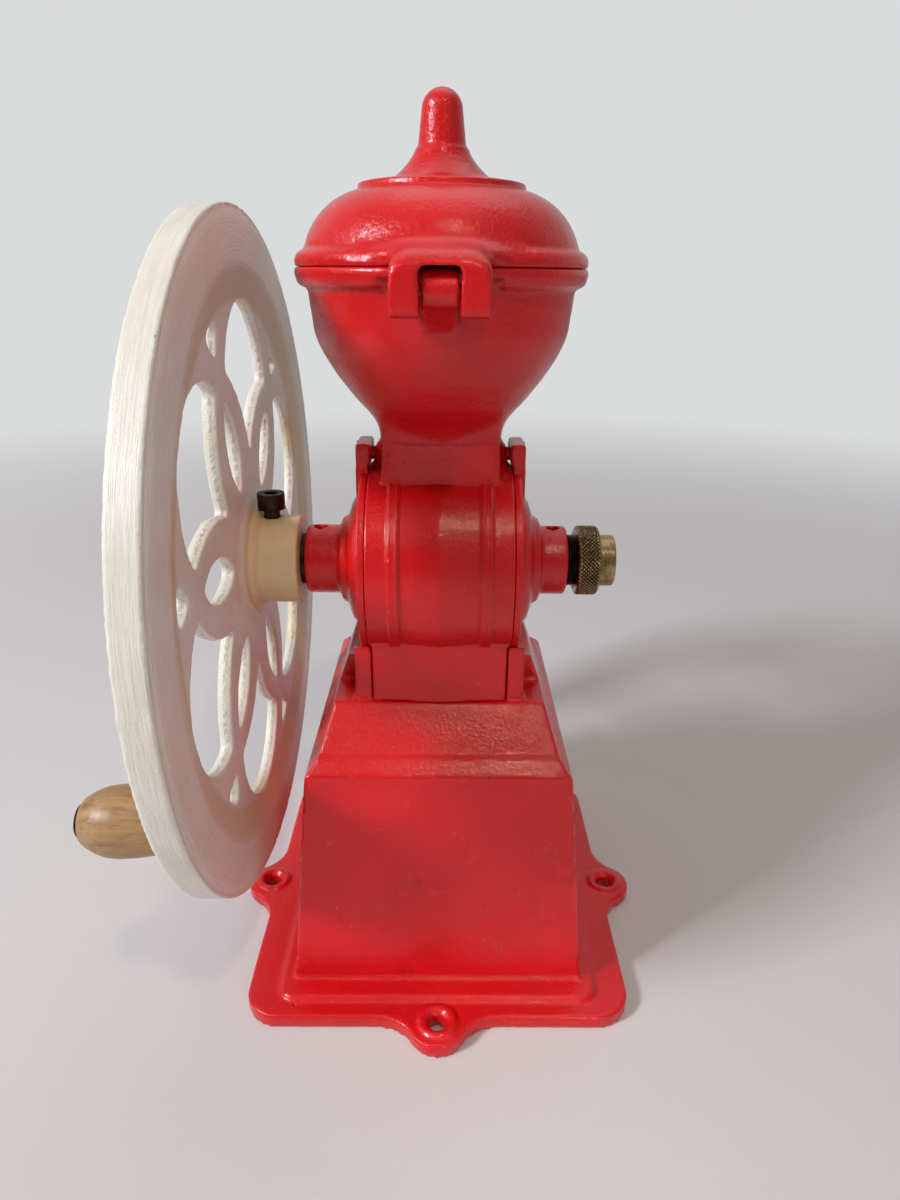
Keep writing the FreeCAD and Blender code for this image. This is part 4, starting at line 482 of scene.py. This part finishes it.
def bodyRelief(place, normal):  # slimmer belly, and a stronger arris down the neck and the foot
    proud = 0
    if math.hypot(place.x, place.y) > bodyCasting["bellyInner"]:
        off = (place.z - bodyCasting["bellyLevel"]) / bodyCasting["bellySpan"]
        proud = -bodyCasting["bellyTrim"] * max(0, 1 - off * off) ** 2
    if normal.y < -0.8:  # the rear face only
        if bodyCasting["neckFoot"] < place.z < bodyCasting["rubbing"][0][0] + 4:
            proud += bodyCasting["arris"] * max(0, 1 - abs(place.x) / bodyCasting["neckHalf"])
        if place.z < bodyCasting["footTop"]:
            proud += bodyCasting["arris"] * max(0, 1 - abs(place.x) / bodyCasting["footHalf"])
    return proud


bodyRubbing = [(lambda place, low=low, high=high: low < place.z < high, rounds)
               for low, high, rounds in bodyCasting["rubbing"]]  # the neck's blend, widest and lightest last
hopper = cast(["hopper_body"], bodyCasting, rimBead, bodyRubbing, bodyRelief)
toPiece("grindingBody", hopper, redEnamel, "frame", "red_paint", "hopper_body")

# Drum's outer skin: flat end bands, a double ridge beside each, and a low arris round the middle
drumSkin = {"end": 26.3, "band": 37.35, "crown": 38.95, "inner": 35.5}
half = [(18.8, 37.35), (18.5, 38.1), (17.7, 38.5), (16.9, 38.2), (16.5, 37.75), (16.1, 38.2), (15.3, 38.5),
        (14.5, 38.1), (14.1, 37.55), (13.4, 37.6), (1.4, 38.8)]  # the double ridge, from the band inward
skin = [(drumSkin["end"], drumSkin["inner"]), (drumSkin["end"], drumSkin["band"] - 0.3),
        (drumSkin["end"] - 0.3, drumSkin["band"]), (drumSkin["end"] - 0.9, drumSkin["band"]),
        (19.4, drumSkin["band"])] + half + [(0.35, drumSkin["crown"])]
skin += [(-along, radius) for along, radius in reversed(skin)] + [skin[0]]
toPiece("drumSkin", turned(skin, centre=(0, 0, shaftHeight), steps=240), redEnamel, "frame", "red_paint")

# Base: plinth, hollow body, shoulder and saddle in one casting
baseCasting = {"cell": 0.9, "rounds": 1, "lump": 0.12, "most": 195000,
               "stripFoot": (49.0, -50.0, 95.5), "stripTop": (45.0, -44.6, 101.2),
               "stripRise": 0.7, "stripDepth": 2.0}
baseNodes = [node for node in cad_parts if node.startswith("base_")]


def edgeStrip(shape):  # the raised strip along the foot of the sloped shoulder
    foot, top = Vector(baseCasting["stripFoot"]), Vector(baseCasting["stripTop"])
    run = (top - foot).yz.normalized()
    out = Vector((0, -run.y, run.x))
    verts = []
    for corner in (foot, top):
        for side in (-1, 1):
            for depth in (baseCasting["stripRise"], -baseCasting["stripDepth"]):
                place = Vector((side * corner.x, corner.y, corner.z)) + out * depth
                verts.append(shape.verts.new(place * mm))
    bmesh.ops.convex_hull(shape, input=verts)


base = cast(baseNodes, baseCasting, edgeStrip)
toPiece("baseCasting", base, redEnamel, "frame", "red_paint", *baseNodes)

# End covers, with their bearing bosses
coverCasting = {"cell": 0.5, "rounds": 2, "lump": 0.08, "most": 120000, "lugFrom": 201, "lugRounds": 26}


def onLug(place):
    return place.z > coverCasting["lugFrom"]


for side in ("left", "right"):
    cover = cast([side + "_end_cover"], coverCasting, None, [(onLug, coverCasting["lugRounds"])])
    toPiece(side + "EndCover", cover, redEnamel, "frame", "red_paint", side + "_end_cover")

# Painted shade: black discs at the bottom of the two oil holes
oilHoles = {"places": (-46.0, 43.1), "radius": 2.55, "low": 173.6, "high": 174.9}
holeShade = newMaterial("oilHoleShade", {"Base Color": hexColour("#140E0C"), "Roughness": 0.45})[0]  # black, dull
plugs = bmesh.new()
for place in oilHoles["places"]:
    disc = [(oilHoles["low"], 0), (oilHoles["low"], oilHoles["radius"]),
            (oilHoles["high"], oilHoles["radius"]), (oilHoles["high"], 0)]
    added(plugs, turned(disc, axis="Z", centre=(place, 0, 0), steps=32))
toPiece("oilHoleShadeDiscs", plugs, holeShade, "frame", "dark_steel")

# Lid, with the saddle that joins its two hinge ears over the knuckle
lidCasting = {"cell": 0.62, "rounds": 2, "lump": 0.08, "most": 170000, "finialCut": 297.2,
              "flare": [(295, 0), (295, 15.8), (296.6, 15.4), (298, 13.7), (300, 11.7), (302, 10.1),
                        (303.4, 9.2), (304.4, 8.9), (304.9, 8.4), (305.4, 7.9)],
              "postTop": 315.5, "postRadius": 6.75,
              "pin": (-54.5, 262.5), "earInner": 5.9, "earFront": 7.3, "earCorner": 2.4,
              "saddleBack": -43.5, "notchTop": 269.4, "saddleRounds": 60, "saddleHalf": 28,
              "crown": [(0, 268.6), (1.2, 271.6), (4.5, 273.6), (9, 274.4)], "crownRise": 1.4,
              "shoulders": [(14.5, 4.2), (14.2, 2.9), (13.5, 1.7), (12.4, 0.8), (11.0, 0.2),
                            (9.5, 0)],  # half width, drop
              "crownFront": -51, "crownFoot": 264.5, "crownRounds": 9,
              "humpHalf": (21, 8, 4.6), "humpCentre": (0, -43.5, 271.8)}


def finial(shape):  # flared foot, step ring, post and a round top, in place of the plain one
    everything = shape.verts[:] + shape.edges[:] + shape.faces[:]
    cut = bmesh.ops.bisect_plane(shape, geom=everything, clear_outer=True, plane_no=(0, 0, 1),
                                 plane_co=(0, 0, lidCasting["finialCut"] * mm))["geom_cut"]
    bmesh.ops.edgeloop_fill(shape, edges=[part for part in cut if isinstance(part, bmesh.types.BMEdge)])
    top, radius = lidCasting["postTop"], lidCasting["postRadius"]
    turns = [math.pi / 2 * i / 10 for i in range(11)]
    dome = [(top + radius * math.sin(turn), radius * math.cos(turn)) for turn in turns]
    added(shape, turned(lidCasting["flare"] + dome, axis="Z"))


def hingeSaddle(shape):  # the ears' fronts, the bridge between them and the swell behind it
    finial(shape)
    pinY, pinZ = lidCasting["pin"]
    front = pinY - lidCasting["earFront"]
    foot = pinZ - lidCasting["earFront"]
    back, notch, inner = lidCasting["saddleBack"], lidCasting["notchTop"], lidCasting["earInner"]
    ear = rounded([(pinY, foot), (front, foot), (front, foot + 8)], lidCasting["earCorner"], 5)
    for half, drop in lidCasting["shoulders"]:  # stepped, so that the corners come out round
        crown = [(front + y, z - drop) for y, z in lidCasting["crown"]]
        crown.append((back, lidCasting["crown"][-1][1] + lidCasting["crownRise"] - drop))
        for x0, x1 in ((inner, half), (-half, -inner)):
            slab(shape, ear + crown + [(back, notch), (pinY, notch)], x0, x1)
    slab(shape, [(front, notch)] + crown + [(back, notch)], -inner - 1, inner + 1)
    hump = bmesh.ops.create_uvsphere(shape, u_segments=48, v_segments=24, radius=mm)["verts"]
    bmesh.ops.scale(shape, verts=hump, vec=lidCasting["humpHalf"])
    bmesh.ops.translate(shape, verts=hump, vec=Vector(lidCasting["humpCentre"]) * mm)


def overNotch(place):
    near = place.y < lidCasting["saddleBack"] + 5 and abs(place.x) < lidCasting["saddleHalf"]
    return near and place.z > lidCasting["notchTop"] + 0.8


def onCrown(place):
    return place.z > lidCasting["crownFoot"] and place.y < lidCasting["crownFront"]


lidRubbing = [(overNotch, lidCasting["saddleRounds"]), (onCrown, lidCasting["crownRounds"])]
lid = cast(["lid"], lidCasting, hingeSaddle, lidRubbing)
toPiece("hopperLid", lid, redEnamel, "lid", "red_paint", "lid")

# Flywheel: heavy rim with a bevel inside, six petal spokes with a rough parting line, long hub
def onSpoke(place):
    reach = math.hypot(place.y, place.z - shaftHeight)
    return wheelCasting["spokesFrom"] < reach < wheelCasting["spokesTo"]


def hubRing(shape):  # the low ring round the foot of the hub
    start, end, radius = wheelCasting["hubRing"]
    added(shape, turned([(start, 10), (start, radius), (end - 0.9, radius), (end, radius - 1.2), (end, 10),
                         (start, 10)], centre=(0, 0, shaftHeight)))


def wheelRelief(place, normal):  # thinner web, worn outer arris, ragged ridge at the parting line
    reach = math.hypot(place.y, place.z - shaftHeight)
    facing = abs(normal.x)
    web = eased(reach, *wheelCasting["bevel"]) * eased(reach, *wheelCasting["hubFoot"])
    sink = wheelCasting["webSink"] * web + wheelCasting["lipDrop"] * eased(reach, *wheelCasting["lip"])
    if not onSpoke(place):
        return -sink * facing
    off = (place.x - wheelCasting["plane"]) / wheelCasting["flashWidth"]
    rough = 0.5 + 0.8 * noise.noise(place / wheelCasting["flashGrain"])
    flash = wheelCasting["flashRise"] * math.exp(-off * off) * max(0.1, rough)
    return (flash - wheelCasting["spokeTrim"]) * (1 - facing) - sink * facing


wheel = cast(["flywheel"], wheelCasting, hubRing, [(onSpoke, wheelCasting["spokeRounds"])], wheelRelief)
toPiece("spokedFlywheel", wheel, creamEnamel, "rotor", "cream_paint", "flywheel")
print("castings made")

# Small turned and forged pieces, with their edges broken
smallPieces = {
    "cover_screws": ("coverScrews", redTrim, "frame", "red_paint_trim", 0.22),
    "foot_pins": ("footPins", redTrim, "frame", "red_paint_trim", 0.3),
    "lid_hinge_pin": ("lidHingePin", redTrim, "frame", "red_paint_trim", 0.2),
    "hub_set_screw": ("hubSetScrew", darkSteel, "rotor", "dark_steel", 0.16),
    "handle_spindle": ("handleSpindle", darkSteel, "rotor", "dark_steel", 0.22)}
for node, (name, material, body, slot, cell) in smallPieces.items():
    shape = cast([node], {"cell": cell, "rounds": 3, "lump": 0.02, "most": 60000})
    toPiece(name, shape, material, body, slot, node)

# Adjuster nut: diamond knurled collar and plain hub
nut = {"start": 52.2, "end": 60.8, "hubEnd": 66.9, "radius": 13.5, "hubRadius": 9.95, "bore": 10.1,
       "floor": 59.9, "tipBore": 4.6, "diamonds": 54, "rings": 46, "depth": 0.5, "edge": 1.1, "worn": 0.35}


def diamond(place, turn):  # 0 in the grooves of the knurl, 1 on its points
    pitch = math.tau * nut["radius"] / nut["diamonds"]
    slants = [(place + way * turn * nut["radius"]) / pitch % 1 for way in (1, -1)]
    return min(1, 1.5 * min(abs(2 * s - 1) for s in slants))


inside, outside = nut["start"] + nut["edge"], nut["end"] - nut["edge"]
collar = [(inside + (outside - inside) * i / nut["rings"], nut["radius"]) for i in range(nut["rings"] + 1)]
shape = turned([(nut["floor"], nut["tipBore"]), (nut["floor"], nut["bore"]), (nut["start"], nut["bore"])]
               + [(nut["start"], nut["radius"] - nut["edge"])]
               + [(nut["start"] + nut["worn"], nut["radius"] - nut["worn"])] + collar
               + [(nut["end"] - nut["worn"], nut["radius"] - nut["worn"])]
               + [(nut["end"], nut["radius"] - nut["edge"])]
               + rounded([(nut["end"], nut["hubRadius"] + 0.8), (nut["end"], nut["hubRadius"]),
                          (nut["hubEnd"], nut["hubRadius"]), (nut["hubEnd"], nut["tipBore"])], 0.6)
               + [(nut["floor"], nut["tipBore"])],
               centre=(0, 0, shaftHeight), steps=nut["diamonds"] * 7)
crest = shape.verts.layers.float.new("crest")
for vertex in shape.verts:
    reach = Vector((0, vertex.co.y, vertex.co.z - shaftHeight * mm))
    vertex[crest] = 0.8
    if reach.length / mm > nut["radius"] - 0.02:
        height = diamond(vertex.co.x / mm, math.atan2(reach.z, reach.y))
        vertex.co -= reach.normalized() * nut["depth"] * mm * (1 - height)
        vertex[crest] = height ** 1.5
toPiece("adjusterNut", shape, agedBrass, "adjuster", "brass", "adjuster_nut")

# Threaded stub that carries the nut
stub = {"start": 40.0, "end": 57.8, "radius": 10.0, "bore": 6.05, "pitch": 1.0, "depth": 0.5, "rings": 160}
run = stub["end"] - stub["start"]
thread = [(stub["start"] + run * i / stub["rings"], stub["radius"]) for i in range(stub["rings"] + 1)]
shape = turned([(stub["start"], stub["bore"])] + thread
               + [(stub["end"], stub["bore"]), (stub["start"], stub["bore"])],
               centre=(0, 0, shaftHeight), steps=72)
for vertex in shape.verts:
    reach = Vector((0, vertex.co.y, vertex.co.z - shaftHeight * mm))
    if reach.length / mm > stub["radius"] - 0.02:
        phase = vertex.co.x / mm / stub["pitch"] * math.tau - math.atan2(reach.z, reach.y)
        vertex.co -= reach.normalized() * stub["depth"] * mm * (0.5 - 0.5 * math.cos(phase))
toPiece("adjusterStub", shape, threadSteel, "frame", "dark_steel", "adjuster_stub")

# Wood grip, free to turn on its spindle
grip = {"inner": -80.6, "end": -110.6, "centre": (0, -91.0, 108.0), "neck": 9.2, "nose": 6.6, "face": -109.9,
        "recess": 5.8, "recessDepth": 1.2, "bore": 4.1,
        "sides": [(0.03, 9.2), (0.2, 10.3), (0.4, 11.1), (0.58, 11.4), (0.7, 11.0), (0.8, 10.1),
                  (0.89, 8.7), (0.96, 7.3)]}  # share of the length, radius
length = grip["end"] - grip["inner"]
gripProfile = [(grip["inner"], grip["bore"]), (grip["inner"], grip["neck"] - 0.8)]
gripProfile += [(grip["inner"] + length * share, radius) for share, radius in grip["sides"]]
gripProfile += [(grip["face"], grip["nose"]), (grip["face"], grip["recess"]),
                (grip["end"] + grip["recessDepth"], grip["recess"]),
                (grip["end"] + grip["recessDepth"], grip["bore"]), (grip["inner"], grip["bore"])]
shape = turned(rounded(gripProfile, 0.9, 4), centre=grip["centre"])
toPiece("handleGrip", shape, handleBeech, "grip", "handle_wood", "handle_grip")
print("small pieces made")

# Kept nodes get their finish
keptNodes = {
    "hub_spacer": darkSteel, "main_shaft": shaftSteel, "thrust_washer": shaftSteel, "left_bush": bronze,
    "burr_key": shaftSteel, "rotating_burr": burrIron, "fixed_burr": burrIron,
    "fixed_burr_screws": shaftSteel, "thrust_spring": springSteel, "drawer_tray": trayBeech,
    "drawer_front": frontBeech, "drawer_knob": knobBrass, "drawer_knob_screw": zincSteel}
for node, material in keptNodes.items():
    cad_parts[node].data.materials.clear()
    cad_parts[node].data.materials.append(material)

# Room, light and camera
studio = {"floor": "#CFCBCC", "backdrop": "#DADBDC", "fadeFrom": 0.45, "fadeTo": 1.5, "air": 0.26,
          "key": 52.0, "fill": 3.2, "top": 3.4, "low": 0.018, "glint": 4.0}  # lamps in watts

ground = bmesh.new()
bmesh.ops.create_circle(ground, cap_ends=True, segments=96, radius=6.0)
groundMesh = bpy.data.meshes.new("studioFloor")
ground.to_mesh(groundMesh)
ground.free()
floor = bpy.data.objects.new("studioFloor", groundMesh)
bpy.context.scene.collection.objects.link(floor)
floorMaterial, tree, shader, coords = newMaterial("paleFloor", {
    "Base Color": hexColour(studio["floor"]), "Roughness": 0.8, "Specular IOR Level": 0.15})
distance = addNode(tree, "ShaderNodeVectorMath", {"operation": "LENGTH"}, {0: coords})
far = addNode(tree, "ShaderNodeMapRange", {"interpolation_type": "SMOOTHSTEP"}, {
    "Value": distance.outputs["Value"], "From Min": studio["fadeFrom"], "From Max": studio["fadeTo"]})
rays = addNode(tree, "ShaderNodeLightPath")
faded = addNode(tree, "ShaderNodeMath", {"operation": "MULTIPLY"}, {0: far, 1: rays.outputs["Is Camera Ray"]})
backdrop = addNode(tree, "ShaderNodeEmission", links={"Color": hexColour(studio["backdrop"])})
blend = addNode(tree, "ShaderNodeMixShader", links={0: faded, 1: shader.outputs[0], 2: backdrop})
tree.links.new(blend.outputs[0], tree.nodes["Material Output"].inputs["Surface"])
floor.data.materials.append(floorMaterial)

world = bpy.data.worlds.new("softRoom")
bpy.context.scene.world = world
world.use_nodes = True
tree = world.node_tree
tree.nodes.clear()
rays = addNode(tree, "ShaderNodeLightPath")
mirrored = addNode(tree, "ShaderNodeMath", {"operation": "MAXIMUM"}, {
    0: rays.outputs["Is Glossy Ray"], 1: rays.outputs["Is Transmission Ray"]})
direction = addNode(tree, "ShaderNodeSeparateXYZ", links={
    "Vector": addNode(tree, "ShaderNodeTexCoord").outputs["Generated"]})
room = addNode(tree, "ShaderNodeMapRange", links={
    "Value": direction.outputs["Y"], "From Min": -0.8, "From Max": 0.8, "To Min": 0.07, "To Max": 0.5})
air = addNode(tree, "ShaderNodeBackground", links={"Color": hexColour("#FFFFFF"), "Strength": studio["air"]})
gloss = addNode(tree, "ShaderNodeBackground", links={"Color": hexColour("#FFFFFF"), "Strength": room})
shown = addNode(tree, "ShaderNodeBackground", links={"Color": hexColour(studio["backdrop"]), "Strength": 1.0})
lit = addNode(tree, "ShaderNodeMixShader", links={0: mirrored, 1: air, 2: gloss})
mix = addNode(tree, "ShaderNodeMixShader", links={0: rays.outputs["Is Camera Ray"], 1: lit, 2: shown})
addNode(tree, "ShaderNodeOutputWorld", links={"Surface": mix})


def softLamp(name, place, target, size, power, colour="#FFFFFF", spread=180):
    lamp = bpy.data.lights.new(name, "AREA")
    lamp.size = size
    lamp.energy = power
    lamp.spread = math.radians(spread)
    lamp.color = hexColour(colour)[:3]
    made = bpy.data.objects.new(name, lamp)
    made.location = place
    made.rotation_euler = (Vector(target) - Vector(place)).to_track_quat("-Z", "Y").to_euler()
    bpy.context.scene.collection.objects.link(made)


softLamp("windowLamp", (-1.8, -0.95, 1.45), (0, 0, 0.15), 0.42, studio["key"], "#F6F9FF")
softLamp("fillLamp", (0.9, -1.8, 1.0), (0, 0, 0.15), 2.2, studio["fill"], "#FFF3E6")
softLamp("topLamp", (0.1, 0.4, 1.6), (0, 0, 0.1), 1.2, studio["top"])
softLamp("lowLamp", (0.3, -0.75, 0.2), (0.03, -0.09, 0.015), 0.1, studio["low"], "#FFF6F2", 18)
softLamp("glintLamp", (0.22, -0.85, 1.45), (0, 0, 0.2), 0.1, studio["glint"], "#FFE9CC")

photoView = {"place": (1.92, -299.76, 267.17), "pitch": 21.963, "yaw": -0.373, "roll": 0.51, "lens": 24.3}
cameraData = bpy.data.cameras.new("photoCamera")
cameraData.lens = photoView["lens"]  # 810 pixels of the 1200 along the long side
cameraData.sensor_width = 36
cameraData.clip_start = 0.01
camera = bpy.data.objects.new("photoCamera", cameraData)
camera.matrix_world = (Matrix.Translation(Vector(photoView["place"]) * mm)
                       @ Matrix.Rotation(math.radians(photoView["yaw"]), 4, "Z")
                       @ Matrix.Rotation(math.radians(90 - photoView["pitch"]), 4, "X")
                       @ Matrix.Rotation(math.radians(photoView["roll"]), 4, "Z"))
bpy.context.scene.collection.objects.link(camera)
bpy.context.scene.camera = camera
bpy.context.scene.view_settings.view_transform = "Standard"
print("stage set")
